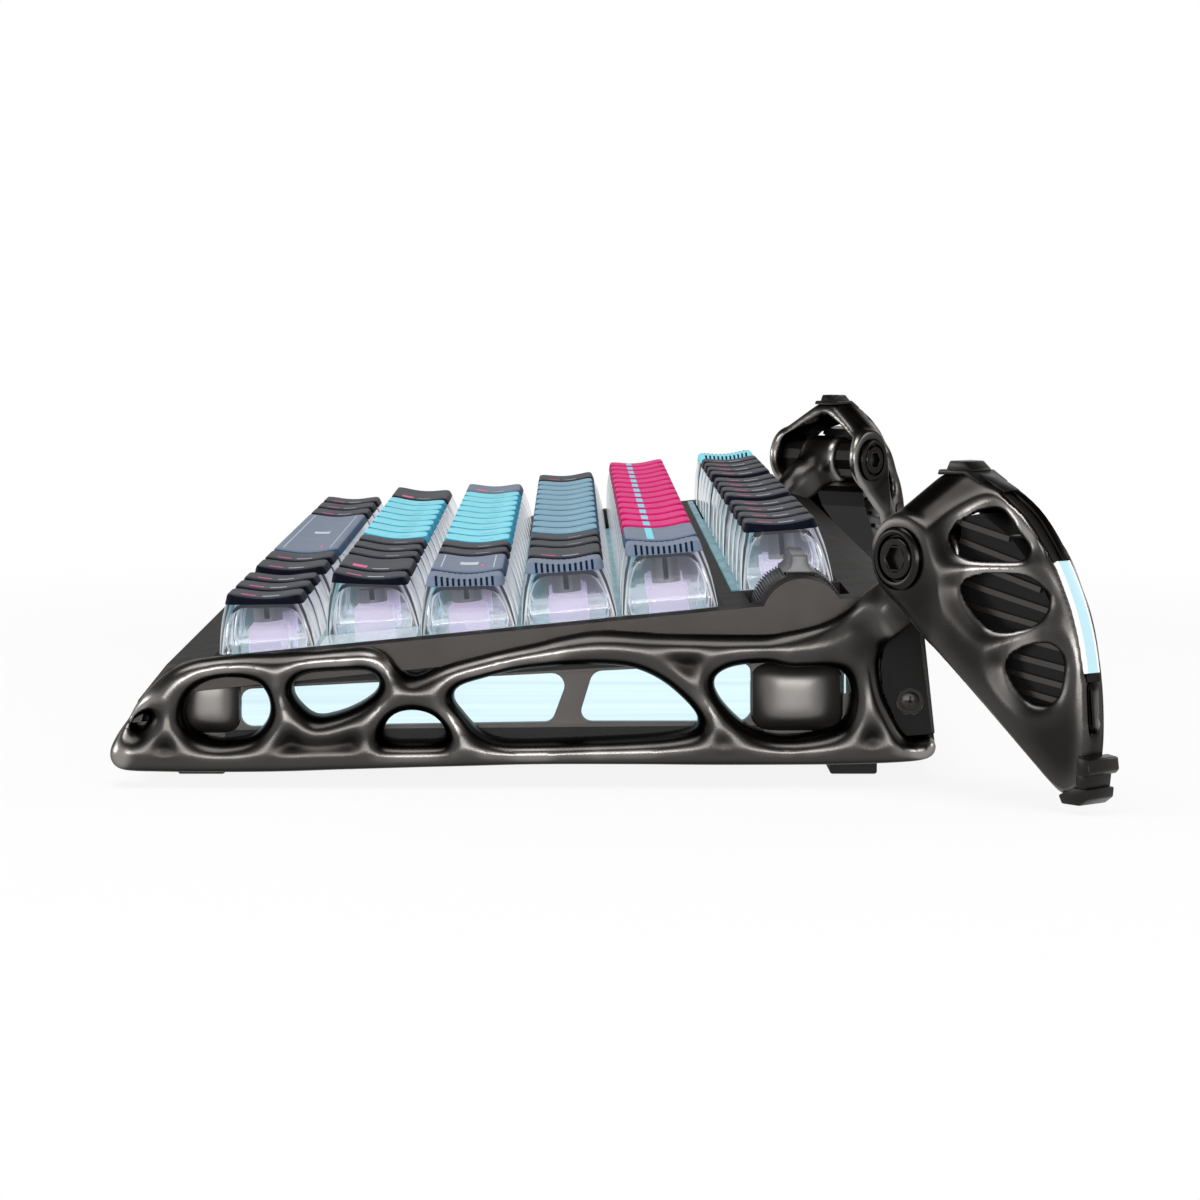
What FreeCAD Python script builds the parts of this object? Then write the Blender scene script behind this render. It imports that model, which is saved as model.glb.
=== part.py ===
"""Compact mechanical-style keyboard with magnetic switches, cast side frames and two folding rear legs.

Lengths are millimetres and angles are degrees.
+X is the typist's right, +Y points away from the typist and +Z is up from the desk.
The origin lies on the desk under the middle of the keyboard.
The key field lies on a plane, the deck, that rises to the rear; its home line is the row of upper letters.
"""
import FreeCAD
import Part
import math
import os
import Sketcher
from FreeCAD import Placement, Rotation, Vector

SIZES = [
    # place of the deck plane and of the home line on the desk
    ("home_line_y", -6.4, "home line, from the middle of the depth"),
    ("deck_height", 29.8, "deck plane above the desk at the home line"),
    ("typing_angle", 5.6, "slope of the deck"),
    # key field
    ("pitch", 19.05, "one unit of the key layout"),
    ("field_units", 16, "width of the key field in units"),
    ("function_gap_units", 0.25, "extra gap in front of the function row, in units"),
    ("cap_gap", 0.85, "gap between neighbouring caps"),
    ("cap_lean", 2.25, "how far each flank of a cap leans in at its top"),
    ("cap_wall", 1.1, "wall of a cap's clear skirt"),
    ("cap_hollow", 0.68, "height of a cap's hollow, as a share of the cap's"),
    ("cap_seat", 1.0, "how far posts and stems reach into a cap's top"),
    ("cap_dish", 0.8, "depth of the dished top"),
    ("key_travel", 3.4, "full travel of a switch"),
    ("post_width", 4.6, "post under a cap"),
    ("slider_width", 7.45, "switch slider above the housing"),
    ("slider_top", 5.2, "slider top above the deck plane"),
    ("slide_clearance", 0.2, "running clearance around a slider"),
    ("seat_clearance", 0.1, "clearance of parts that seat on each other"),
    ("housing_width", 13.9, "switch housing"),
    ("housing_top", 1.2, "housing top above the deck plane"),
    ("housing_depth", 5.0, "housing below the top of the switch plate"),
    ("plate_drop", 5.0, "top of the switch plate below the deck plane"),
    ("plate_thick", 1.5, "switch plate"),
    ("plate_margin", 2.4, "switch plate beyond the key field, front and rear"),
    ("cutout_clearance", 0.1, "switch cut-out beyond the housing"),
    ("board_thick", 1.6, "circuit board"),
    ("board_margin", 1.0, "circuit board inside the switch plate's edge"),
    # cap heights above the deck plane, at the front and rear edge of the top
    ("bottom_cap_front", 11.3, ""),
    ("bottom_cap_back", 9.9, ""),
    ("shift_cap_front", 12.0, ""),
    ("shift_cap_back", 9.8, ""),
    ("home_cap_front", 10.95, ""),
    ("home_cap_back", 9.6, ""),
    ("upper_cap_front", 11.5, ""),
    ("upper_cap_back", 11.0, ""),
    ("number_cap_front", 13.0, ""),
    ("number_cap_back", 12.6, ""),
    ("function_cap_front", 13.1, ""),
    ("function_cap_back", 12.75, ""),
    # stabilizers of the wide keys
    ("stabilizer_width", 6.6, "stabilizer housing along the row"),
    ("stabilizer_depth", 11.0, "stabilizer housing across the row"),
    ("stabilizer_reach_short", 11.95, "from the middle of a 2 to 2.75 unit key to its stabilizer"),
    ("stabilizer_reach_space", 50.0, "from the middle of the space bar to its stabilizer"),
    ("stabilizer_wire", 1.3, "stabilizer wire"),
    ("stabilizer_floor", 0.6, "floor of a stabilizer housing"),
    # top cover
    ("cover_overhang", 4.5, "top cover beyond the lower case, on each side"),
    ("cover_thick", 3.5, "deck thickness around the key field"),
    ("cover_skirt", 5.5, "side skirt below the deck plane"),
    ("cover_skirt_wall", 2.5, "side skirt wall"),
    ("well_margin", 0.5, "key well beyond the key field"),
    ("front_edge", -83.8, "front of the case at the split, from the home line"),
    ("front_shoulder", -75.0, "where the front apron meets the deck"),
    ("rear_edge", 62.0, "rear end of the deck, from the home line"),
    ("split_height", 11.6, "split between top cover and lower case at the front"),
    ("apron_wall", 2.6, "front apron wall"),
    # lower case
    ("case_bottom", 3.4, "underside of the case above the desk"),
    ("case_margin", 3.1, "lower case beyond the key field, on each side"),
    ("case_wall", 2.5, "lower case walls"),
    ("case_floor", 2.5, "lower case floor"),
    ("rear_wall_y", 62.0, "outside of the lower case's rear wall, from the home line"),
    ("window_drop", 10.3, "top of the side windows below the deck plane"),
    ("window_sill", 11.0, "bottom of the side windows above the desk"),
    ("diffuser_thick", 2.0, "side light diffusers"),
    # rear cover
    ("rear_cover_depth", 6.5, "rear cover at its foot"),
    ("rear_cover_lean", 2.6, "how far the rear face leans forward at its top"),
    ("rear_cover_foot", 6.8, "lower edge of the rear cover"),
    ("rear_cover_top", 32.0, "upper edge of the rear cover"),
    ("port_width", 9.2, "socket mouth"),
    ("port_height", 3.4, "socket mouth"),
    ("port_depth", 7.4, "socket"),
    ("port_wall", 0.5, "socket shell"),
    ("port_x", -60.0, "socket, from the middle"),
    ("port_z", 14.0, "socket above the desk"),
    # side frames
    ("frame_set", 5.0, "side frame beyond the top cover"),
    ("arm_width", 12.0, "leg lug of a side frame"),
    ("arm_radius", 6.4, "leg lug of a side frame"),
    ("arm_foot", 6.4, "arm where it leaves the side frame"),
    ("arm_set", 0.8, "arm's foot outward of the cover's side"),
    # legs
    ("hinge_out", 10.8, "hinge middle beyond the side of the top cover"),
    ("hinge_y", 70.8, "hinge middle, from the home line"),
    ("hinge_height", 43.8, "hinge middle above the desk"),
    ("splay_angle", 40.0, "outward swing direction of a leg, from straight sideways"),
    ("leg_width", 28.6, "leg across its ears"),
    ("keel_width", 6.0, "leg across its keel"),
    ("leg_wall", 2.4, "leg shell"),
    ("bolt_shank", 5.0, "hinge bolt"),
    ("bolt_head", 11.6, "hinge bolt head"),
    ("bolt_head_thick", 1.6, "hinge bolt head"),
    ("bolt_socket", 4.0, "across the hexagon in a hinge bolt"),
    ("hinge_clearance", 0.15, "around a hinge bolt"),
    ("bush_outer", 10.0, "bush beside the leg lug"),
    ("strip_width", 3.4, "light strip in a leg"),
    ("strip_thick", 1.2, "light strip in a leg"),
    ("rail_width", 4.4, "rail on the upper keel"),
    ("rail_thick", 1.4, "rail on the upper keel"),
    ("clip_width", 9.2, "clip on top of a leg"),
    ("clip_thick", 2.6, "clip on top of a leg"),
    ("pad_width", 8.0, "foot pad of a leg"),
    ("pad_thick", 1.6, "foot pad of a leg"),
    ("core_thick", 4.4, "ribbed core of a leg"),
    ("core_web", 2.0, "web between the ribs of a leg's core"),
    # thumb roller
    ("roller_y", 43.6, "roller axis, from the home line"),
    ("roller_height", 30.6, "roller axis above the desk"),
    ("roller_radius", 8.6, "roller"),
    ("roller_length", 20.0, "roller"),
    ("roller_groove", 0.5, "knurl depth"),
    ("roller_tab", 2.8, "height of the finger tab"),
    ("roller_tab_width", 2.6, "finger tab around the rim"),
    ("axle_radius", 2.0, "roller axle"),
    ("roller_clearance", 0.8, "roller to its pocket"),
    ("arch_radius", 7.9, "arch on the side of the cover in front of the roller's end"),
    ("bracket_thick", 2.4, "roller bracket cheeks"),
    ("deck_web", 1.2, "web of the deck between the function row and the roller"),
    # small parts
    ("foot_length", 26.0, "rubber foot"),
    ("foot_width", 9.0, "rubber foot"),
    ("foot_sink", 0.8, "rubber foot let into the case"),
    ("screw_head", 4.4, "case screw head"),
    ("screw_shank", 2.4, "case screw shank"),
    ("screw_length", 5.0, "case screw"),
    ("screw_head_thick", 1.3, "case screw head"),
    ("end_screw_y", 63.4, "screw in the end of the rear cover, from the home line"),
    ("end_screw_z", 15.6, "screw in the end of the rear cover, above the desk"),
    ("light_strip_width", 1.5, "light strip in front of the function row"),
    ("light_strip_height", 3.0, "light strip in front of the function row"),
    ("gasket_length", 57.0, "gasket between cover and plate"),
    ("foot_x", 132.0, "rubber foot, from the middle"),
    ("foot_front_y", -70.0, "front rubber foot, from the home line"),
    ("foot_rear_y", 54.0, "rear rubber foot, from the home line"),
    # widths that follow from the key field outward
    ("case_width", "=field_units * pitch + 2 * case_margin", "lower case, left to right"),
    ("cover_width", "=case_width + 2 * cover_overhang", "top cover, left to right"),
    ("frame_width", "=cover_width + 2 * frame_set", "outside of one side frame to outside of the other"),
    ("hinge_x", "=cover_width / 2 + hinge_out", "hinge middle, from the middle of the keyboard"),
]

doc = FreeCAD.newDocument("keyboard")
sheet = doc.addObject("Spreadsheet::Sheet", "sizes")
for line, (alias, number, note) in enumerate(SIZES, start=1):
    sheet.set(f"A{line}", note)
    sheet.set(f"B{line}", str(number))
    sheet.setAlias(f"B{line}", alias)
doc.recompute()


def size(alias):
    return float(sheet.get(alias))


PITCH = size("pitch")
FIELD_HALF = size("field_units") * PITCH / 2
SLOPE = math.tan(math.radians(size("typing_angle")))
CAP_DEPTH = PITCH - size("cap_gap")
ROWS = {
    "bottom": -3.0,
    "shift": -2.0,
    "home": -1.0,
    "upper": 0.0,
    "number": 1.0,
    "function": 2.0 + size("function_gap_units"),
}

# node, row, first unit from the left, width in units, how many
KEYS = [
    ("key_escape", "function", 0, 1, 1),
    ("keys_function_1_to_4", "function", 1.5, 1, 4),
    ("keys_function_5_to_8", "function", 6, 1, 4),
    ("keys_function_9_to_12", "function", 10.5, 1, 4),
    ("keys_numbers", "number", 0, 1, 13),
    ("key_backspace", "number", 13, 2, 1),
    ("key_home", "number", 15, 1, 1),
    ("key_tab", "upper", 0, 1.5, 1),
    ("keys_upper_letters", "upper", 1.5, 1, 12),
    ("key_backslash", "upper", 13.5, 1.5, 1),
    ("key_page_up", "upper", 15, 1, 1),
    ("key_caps_lock", "home", 0, 1.75, 1),
    ("keys_home_letters", "home", 1.75, 1, 11),
    ("key_enter", "home", 12.75, 2.25, 1),
    ("key_page_down", "home", 15, 1, 1),
    ("key_left_shift", "shift", 0, 2.25, 1),
    ("keys_lower_letters", "shift", 2.25, 1, 10),
    ("key_right_shift", "shift", 12.25, 1.75, 1),
    ("key_arrow_up", "shift", 14, 1, 1),
    ("keys_left_modifiers", "bottom", 0, 1.25, 3),
    ("key_space", "bottom", 3.75, 6.25, 1),
    ("keys_right_modifiers", "bottom", 10, 1.25, 2),
    ("keys_arrow_row", "bottom", 13, 1, 3),
]
STABILIZED_FROM = 2
SPACE_FROM = 5

# Points of the outlines of the castings, read off the real thing from the side.
# Side frame: (from the home line to the rear, above the desk), with a corner radius.
FRAME_NOSE = [((-80.5, 3.4), 3.0), ((-84.8, 5.0), 2.5), ((-83.6, 12.5), 4.0), ((-75.5, 22.0), 5.0)]
FRAME_TOP = [((4.0, 29.4), 8.0), ((36.0, 28.3), 10.0), ((48.0, 30.4), 8.0), ((58.5, 35.6), 3.0)]
FRAME_REAR = [((61.0, 30.4), 2.0), ((57.6, 24.5), 6.0), ((58.0, 18.5), 8.0), ((61.6, 9.2), 1.5)]
FRAME_HEEL = [((67.8, 8.6), 1.0), ((68.2, 3.4), 2.0)]
FRAME_HOLES = [
    [((-71.0, 15.0), 4.0), ((-65.5, 20.0), 3.6), ((-56.0, 20.0), 3.8)]
    + [((-55.6, 12.0), 4.4), ((-66.0, 8.8), 4.0)],
    [((-52.2, 20.2), 2.0), ((-33.5, 19.8), 2.0), ((-46.6, 12.2), 2.5)],
    [((-35.2, 8.6), 1.0), ((-33.6, 14.6), 3.4), ((-24.6, 14.6), 3.4), ((-22.4, 8.6), 1.0)],
    [((-23.2, 17.0), 2.5), ((2.0, 23.4), 12.0), ((13.5, 23.0), 8.0)]
    + [((26.4, 10.4), 2.4), ((-13.0, 8.4), 6.0)],
    [((25.4, 20.0), 3.0), ((34.0, 23.6), 8.0), ((50.4, 23.2), 5.0)]
    + [((52.6, 12.6), 6.0), ((41.0, 8.8), 9.0)],
]
FRAME_SHOULDER_Y = -68.0
ARM_ROOT = (49.0, 26.5)
CASE_WINDOWS = [(-61.6, -35.6), (-33.4, -1.5), (6.0, 33.8)]
WINDOW_CORNER = 2.4

# Leg, in its own plane: (outward from the hinge, up from the hinge). The first lists run along the keel.
KEEL = [(6.0, 15.4), (14.0, 12.0), (20.5, 7.6), (26.3, 0.3)]
KEEL += [(31.0, -9.0), (33.4, -19.0), (34.0, -31.0), (32.4, -40.8)]
LEG_INNER = [(28.0, -40.8), (18.0, -31.4), (8.0, -21.0), (-1.0, -8.6)]
LEG_INNER += [(-5.5, 1.0), (-2.6, 12.0), (-0.5, 15.0)]
EAR_OUTER = [(2.5, 7.2), (4.8, 6.2), (6.6, 4.2), (7.6, 1.4)]
EAR_OUTER += [(8.2, -2.2), (8.6, -6.2), (9.0, -10.2), (9.0, -13.6)]
EAR_INNER = [(7.0, -14.4), (5.0, -13.6), (2.4, -12.0), (-2.4, -7.6), (-7.2, -0.6), (-5.6, 5.2), (-2.0, 7.4)]
LEG_HOLES = [
    [(8.6, 3.4), (9.4, 6.6), (11.4, 8.0), (14.6, 5.6), (18.0, 2.0), (15.6, 1.2), (11.0, 1.2)],
    [(11.4, -5.4), (14.0, -3.2), (18.6, -2.6), (24.2, -3.2)]
    + [(26.6, -6.8), (23.8, -10.2), (16.8, -11.6), (13.0, -9.0)],
    [(20.0, -18.4), (22.6, -15.6), (26.2, -14.4), (28.9, -16.4)]
    + [(29.0, -20.6), (27.6, -24.0), (24.2, -24.6), (21.0, -21.6)],
]
STRIP_SPAN = (3, 5)
RAIL_SPAN = (0, 3)


def deck_z(y):
    """Height of the deck plane above the desk, at a distance from the home line."""
    return size("deck_height") + SLOPE * y


def desk_place():
    return Placement(Vector(0, size("home_line_y"), 0), Rotation())


def deck_place():
    """Placement of what lies on the sloping deck."""
    return Placement(
        Vector(0, size("home_line_y"), size("deck_height")),
        Rotation(Vector(1, 0, 0), size("typing_angle")),
    )


def tilted(rise):
    """Placement, in a body that stands level, of a plane parallel to the deck and above it."""
    turn = Rotation(Vector(1, 0, 0), size("typing_angle"))
    return Placement(Vector(0, 0, size("deck_height")) + turn.multVec(Vector(0, 0, rise)), turn)


def leg_place():
    """Placement of the right leg: its X points outward, its Y along the hinge."""
    return Placement(
        Vector(size("hinge_x"), size("home_line_y") + size("hinge_y"), size("hinge_height")),
        Rotation(Vector(0, 0, 1), size("splay_angle")),
    )


def new_body(label, place):
    body = doc.addObject("PartDesign::Body", label)
    body.Label = label
    body.AllowCompound = True
    body.Placement = place
    return body


def plane_of(body, role):
    for feature in body.Origin.OriginFeatures:
        if feature.Role == role:
            return feature
    raise ValueError(role)


def new_sketch(body, name, role, shift=0.0, side=0.0, rise=0.0):
    """A sketch parallel to an origin plane, shifted along its normal and within its own plane."""
    sketch = body.newObject("Sketcher::SketchObject", name)
    sketch.AttachmentSupport = (plane_of(body, role), [""])
    sketch.MapMode = "FlatFace"
    sketch.AttachmentOffset = Placement(Vector(side, rise, shift), Rotation())
    return sketch


def add_loop(sketch, points):
    """A closed outline of straight edges."""
    corners = [Vector(x, y, 0) for x, y in points]
    for start, end in zip(corners, corners[1:] + corners[:1]):
        sketch.addGeometry(Part.LineSegment(start, end), False)


def add_rectangle(sketch, width, depth, x=0.0, y=0.0):
    """A rectangle about a middle point; width and depth may be expressions on the sheet."""
    w, d = (size(value) if isinstance(value, str) else value for value in (width, depth))
    first = sketch.GeometryCount
    left, right, near, far = x - w / 2, x + w / 2, y - d / 2, y + d / 2
    add_loop(sketch, [(left, near), (right, near), (right, far), (left, far)])
    for index in range(4):
        sketch.addConstraint(Sketcher.Constraint("Coincident", first + index, 2, first + (index + 1) % 4, 1))
    for index, kind in enumerate(("Horizontal", "Vertical", "Horizontal", "Vertical")):
        sketch.addConstraint(Sketcher.Constraint(kind, first + index))
    if x == 0 and y == 0:
        sketch.addConstraint(Sketcher.Constraint("Symmetric", first, 1, first + 2, 1, -1, 1))
        for edge, value in ((first, width), (first + 1, depth)):
            measure = size(value) if isinstance(value, str) else value
            row = sketch.addConstraint(Sketcher.Constraint("Distance", edge, measure))
            if isinstance(value, str):
                sketch.setExpression(f"Constraints[{row}]", f"sizes.{value}")


def add_rounded_loop(sketch, corners):
    """A closed outline whose corners, given as (point, radius), are eased by two flats each."""
    points = []
    count = len(corners)
    for index, (point, radius) in enumerate(corners):
        here = Vector(*point, 0)
        before = (Vector(*corners[index - 1][0], 0) - here).normalize()
        after = (Vector(*corners[(index + 1) % count][0], 0) - here).normalize()
        half = before.getAngle(after) / 2
        cut = radius / math.tan(half)
        middle = here + (before + after).normalize() * (radius / math.sin(half) - radius)
        points += [here + before * cut, middle, here + after * cut]
    add_loop(sketch, [(point.x, point.y) for point in points])


def offset_loop(points, distances):
    """Points of a closed outline whose edges move by their own distances, inward if positive."""
    count = len(points)
    around = zip(points, points[1:] + points[:1])
    area = sum(x0 * y1 - x1 * y0 for (x0, y0), (x1, y1) in around)
    turn = 1 if area > 0 else -1
    lines = []
    for index, distance in enumerate(distances):
        (x0, y0), (x1, y1) = points[index], points[(index + 1) % count]
        length = math.hypot(x1 - x0, y1 - y0)
        nx, ny = -turn * (y1 - y0) / length, turn * (x1 - x0) / length
        lines.append((nx, ny, nx * x0 + ny * y0 + distance))
    result = []
    for (a, b, c), (p, q, r) in zip(lines[-1:] + lines[:-1], lines):
        det = a * q - b * p
        if abs(det) < 1e-6:
            det = 1e-6
        result.append(((c * q - b * r) / det, (a * r - c * p) / det))
    return result


def offset_path(points, distance):
    """Points of an open path moved sideways, to its left if positive."""
    normals = []
    for (x0, y0), (x1, y1) in zip(points, points[1:]):
        length = math.hypot(x1 - x0, y1 - y0)
        normals.append((-(y1 - y0) / length, (x1 - x0) / length))
    moved = []
    for index, (x, y) in enumerate(points):
        n0 = normals[max(index - 1, 0)]
        n1 = normals[min(index, len(normals) - 1)]
        scale = distance / (1 + n0[0] * n1[0] + n0[1] * n1[1])
        moved.append((x + (n0[0] + n1[0]) * scale, y + (n0[1] + n1[1]) * scale))
    return moved


def pad(body, sketch, length, centred=False, reverse=False, taper=0.0):
    """A pad; its length may be a name on the sheet or an expression of such names."""
    feature = body.newObject("PartDesign::Pad", sketch.Name + "_pad")
    feature.Profile = sketch
    feature.SideType = "Symmetric" if centred else "One side"
    feature.Reversed = reverse
    feature.TaperAngle = taper
    set_length(feature, "Length", length)
    return feature


def pocket(body, sketch, length, centred=False, reverse=False, taper=0.0):
    """A pocket; a length of None goes through everything."""
    feature = body.newObject("PartDesign::Pocket", sketch.Name + "_pocket")
    feature.Profile = sketch
    feature.SideType = "Symmetric" if centred else "One side"
    feature.Reversed = reverse
    feature.TaperAngle = taper
    if length is None:
        feature.Type = "ThroughAll"
    else:
        set_length(feature, "Length", length)
    return feature


def set_length(feature, name, length):
    if isinstance(length, str):
        feature.setExpression(name, length)
    else:
        setattr(feature, name, length)


def volume(body):
    doc.recompute()
    return body.Shape.Volume


def mirrored_copy(source, label):
    """The left twin of a right-hand piece."""
    twin = doc.addObject("Part::Mirroring", label)
    twin.Label = label
    twin.Source = source
    twin.Base = (0, 0, 0)
    twin.Normal = (1, 0, 0)
    return twin


def key_middles(first, width, count):
    """Places of the middles of a run of equal keys, from the middle of the keyboard."""
    return [(first + width * (index + 0.5)) * PITCH - FIELD_HALF for index in range(count)]


def cap_profile(row, middle):
    """Side view of a cap: flared foot, leaning front and back, dished top."""
    front = size(f"{row}_cap_front")
    back = size(f"{row}_cap_back")
    foot = CAP_DEPTH / 2
    top = foot - size("cap_lean")
    outline = [(middle - foot, 0), (middle - top, front), (middle + top, back), (middle + foot, 0)]
    return [Vector(y, z, 0) for y, z in outline]


def stabilizer_reaches(width):
    """Where a key's stabilizers stand, from its middle; narrow keys have none."""
    if width < STABILIZED_FROM:
        return []
    reach = size("stabilizer_reach_space" if width >= SPACE_FROM else "stabilizer_reach_short")
    return [-reach, reach]


def stabilizer_floor():
    """Floor of the stabilizer housings, from the deck plane."""
    return size("stabilizer_floor") - size("plate_drop")


def make_keys(label, row, first, width, count):
    """A run of equal keys: clear-skirted caps, each with its post, on the sliders of their switches."""
    body = new_body(label, deck_place())
    x = key_middles(first, width, 1)[0]
    y = ROWS[row] * PITCH
    cap_width = width * PITCH - size("cap_gap")
    front_foot, front_top, back_top, back_foot = cap_profile(row, y)

    side = new_sketch(body, label + "_side", "YZ_Plane", shift=x)
    sink = Vector(0, size("cap_dish"), 0)
    dish = [front_top * (1 - share) + back_top * share - sink for share in (0.3, 0.7)]
    outline = [front_foot, front_top] + dish + [back_top, back_foot]
    add_loop(side, [(point.x, point.y) for point in outline])
    pad(body, side, f"{width} * sizes.pitch - sizes.cap_gap", centred=True)

    flanks = new_sketch(body, label + "_flanks", "XZ_Plane")
    high = front_top.y + 2
    lean = size("cap_lean") * high / front_top.y
    for sign in (-1, 1):
        foot = x + sign * cap_width / 2
        add_loop(flanks, [(foot, 0), (foot + sign * 2, 0), (foot + sign * 2, high), (foot - sign * lean, high)])
    pocket(body, flanks, None, centred=True)

    hollow_height = min(front_top.y, back_top.y) * size("cap_hollow")
    hollow = new_sketch(body, label + "_hollow", "YZ_Plane", shift=x)
    foot = CAP_DEPTH / 2 - size("cap_wall")
    inward = size("cap_lean") * hollow_height / front_top.y
    ceiling = [(y + foot - inward, hollow_height), (y - foot + inward, hollow_height)]
    add_loop(hollow, [(y - foot, 0), (y + foot, 0)] + ceiling)
    side_wall = (CAP_DEPTH - size("housing_width")) / 2 - 2 * size("seat_clearance")
    pocket(body, hollow, cap_width - 2 * side_wall, centred=True)

    reaches = stabilizer_reaches(width)
    post_foot = size("slider_top") + size("seat_clearance")
    post = new_sketch(body, label + "_post", "XY_Plane", shift=post_foot)
    add_rectangle(post, size("post_width"), size("post_width"), x, y)
    pad(body, post, hollow_height - post_foot + size("cap_seat"))
    if reaches:
        stem_foot = stabilizer_floor() + size("key_travel") + size("slide_clearance")
        stems = new_sketch(body, label + "_stems", "XY_Plane", shift=stem_foot)
        for reach in reaches:
            add_rectangle(stems, size("post_width"), size("post_width"), x + reach, y)
        pad(body, stems, hollow_height - stem_foot + size("cap_seat"))

    slider_foot = size("housing_top") - size("key_travel") - size("slide_clearance") * 2
    slider = new_sketch(body, label + "_slider", "XY_Plane", shift=slider_foot)
    add_rectangle(slider, size("slider_width"), size("slider_width"), x, y)
    pad(body, slider, f"sizes.slider_top - {slider_foot}")

    if count > 1:
        doc.recompute()
        row_of_keys = body.newObject("PartDesign::LinearPattern", label + "_pattern")
        row_of_keys.TransformMode = "Whole shape"
        row_of_keys.Direction = (plane_of(body, "YZ_Plane"), [""])
        row_of_keys.Mode = "Spacing"
        row_of_keys.setExpression("Offset", f"{width} * sizes.pitch")
        row_of_keys.Occurrences = count
        body.Tip = row_of_keys
    return body


def row_places(row):
    """Places along a row of the middles of all its keys."""
    runs = [key for key in KEYS if key[1] == row]
    return [x for _, _, first, width, count in runs for x in key_middles(first, width, count)]


def switch_places():
    return [(x, ROWS[row] * PITCH) for row in ROWS for x in row_places(row)]


def stabilizer_places():
    places = []
    for _, row, first, width, count in KEYS:
        for reach in stabilizer_reaches(width)[1:]:
            places.append((key_middles(first, width, 1)[0], ROWS[row] * PITCH, reach))
    return places


def feature_of(label, shape, place):
    """A group of equal solids at uneven places."""
    feature = doc.addObject("Part::Feature", label)
    feature.Label = label
    feature.Shape = shape
    feature.Placement = place
    return feature


def make_switch_housings():
    """One housing as a body; the group repeats it under every cap."""
    master = new_body("housing_master", Placement())
    outline = new_sketch(master, "housing_outline", "XY_Plane", shift=size("housing_top"))
    add_rectangle(outline, "housing_width", "housing_width")
    pad(master, outline, "sizes.housing_top + sizes.plate_drop + sizes.housing_depth", reverse=True)
    well = new_sketch(master, "housing_well", "XY_Plane", shift=size("housing_top"))
    mouth = size("slider_width") + 2 * size("slide_clearance")
    add_rectangle(well, mouth, mouth)
    pocket(master, well, "2 * sizes.key_travel + 3 * sizes.slide_clearance")
    doc.recompute()
    copies = [master.Shape.translated(Vector(x, y, 0)) for x, y in switch_places()]
    return feature_of("switch_housings", Part.makeCompound(copies), deck_place())


def make_stabilizers():
    """Housings on the switch plate and the wires that link the two of each wide key."""
    plate_top = -size("plate_drop")
    width, depth, wire = size("stabilizer_width"), size("stabilizer_depth"), size("stabilizer_wire")
    height = size("plate_drop") + size("housing_top") - size("seat_clearance")
    slot = size("post_width") + 2 * size("slide_clearance")
    housings, wires = [], []
    for x, y, reach in stabilizer_places():
        for sign in (-1, 1):
            corner = Vector(x + sign * reach - width / 2, y - depth / 2, plate_top)
            block = Part.makeBox(width, depth, height, corner)
            mouth = Vector(x + sign * reach - slot / 2, y - slot / 2, stabilizer_floor())
            housings.append(block.cut(Part.makeBox(slot, slot, height, mouth)))
        front = y - size("housing_width") / 2 - wire - size("seat_clearance")
        low = plate_top + size("seat_clearance")
        bar = Part.makeBox(2 * reach + wire, wire, wire, Vector(x - reach - wire / 2, front, low))
        arm = y - depth / 2 - size("seat_clearance") - front
        tips = [
            Part.makeBox(wire, arm, wire, Vector(x + sign * reach - wire / 2, front, low))
            for sign in (-1, 1)
        ]
        wires.append(bar.fuse(tips).removeSplitter())
    return [
        feature_of("stabilizer_housings", Part.makeCompound(housings), deck_place()),
        feature_of("stabilizer_wires", Part.makeCompound(wires), deck_place()),
    ]


def plate_span():
    """Front and rear edge of the switch plate on the deck."""
    front = (ROWS["bottom"] - 0.5) * PITCH - size("plate_margin")
    rear = (ROWS["function"] + 0.5) * PITCH + size("plate_margin")
    return front, rear


def roller_edge():
    """Left edge of the roller's zone, at the end of the function row."""
    return 14.5 * PITCH - FIELD_HALF


def notched(half, front, notch_x, notch_y, rear):
    """Outline of a sheet as wide as the case, cut back at the rear right for the roller."""
    return [(-half, front), (half, front), (half, notch_y), (notch_x, notch_y), (notch_x, rear), (-half, rear)]


def make_switch_plate():
    body = new_body("switch_plate", deck_place())
    front, rear = plate_span()
    half = size("case_width") / 2 - size("case_wall") - size("seat_clearance")
    outline = new_sketch(body, "plate_outline", "XY_Plane", shift=-size("plate_drop"))
    notch_x = roller_edge() + size("well_margin")
    notch_y = size("roller_y") - size("roller_radius") - size("roller_clearance") - size("bracket_thick")
    add_loop(outline, notched(half, front, notch_x, notch_y, rear))
    pad(body, outline, "sizes.plate_thick", reverse=True)
    half = size("housing_width") / 2 + size("cutout_clearance")
    for row in ROWS:
        holes = new_sketch(body, f"{row}_row_holes", "XY_Plane", shift=-size("plate_drop"))
        y = ROWS[row] * PITCH
        for x in row_places(row):
            left, right = x - half, x + half
            add_loop(holes, [(left, y - half), (right, y - half), (right, y + half), (left, y + half)])
        pocket(body, holes, None, centred=True)
    return body


def make_circuit_board():
    body = new_body("circuit_board", deck_place())
    top = size("plate_drop") + size("housing_depth") + size("seat_clearance")
    front, rear = plate_span()
    inset = size("board_margin")
    half = size("case_width") / 2 - size("case_wall") - size("diffuser_thick") - inset
    outline = new_sketch(body, "board_outline", "XY_Plane", shift=-top)
    notch_x = roller_edge() + size("well_margin")
    notch_y = size("roller_y") - size("roller_radius") - size("roller_clearance") - size("bracket_thick")
    front, rear = front + inset, rear - inset
    add_loop(outline, notched(half, front, notch_x, notch_y, rear))
    pad(body, outline, "sizes.board_thick", reverse=True)
    return body


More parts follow.
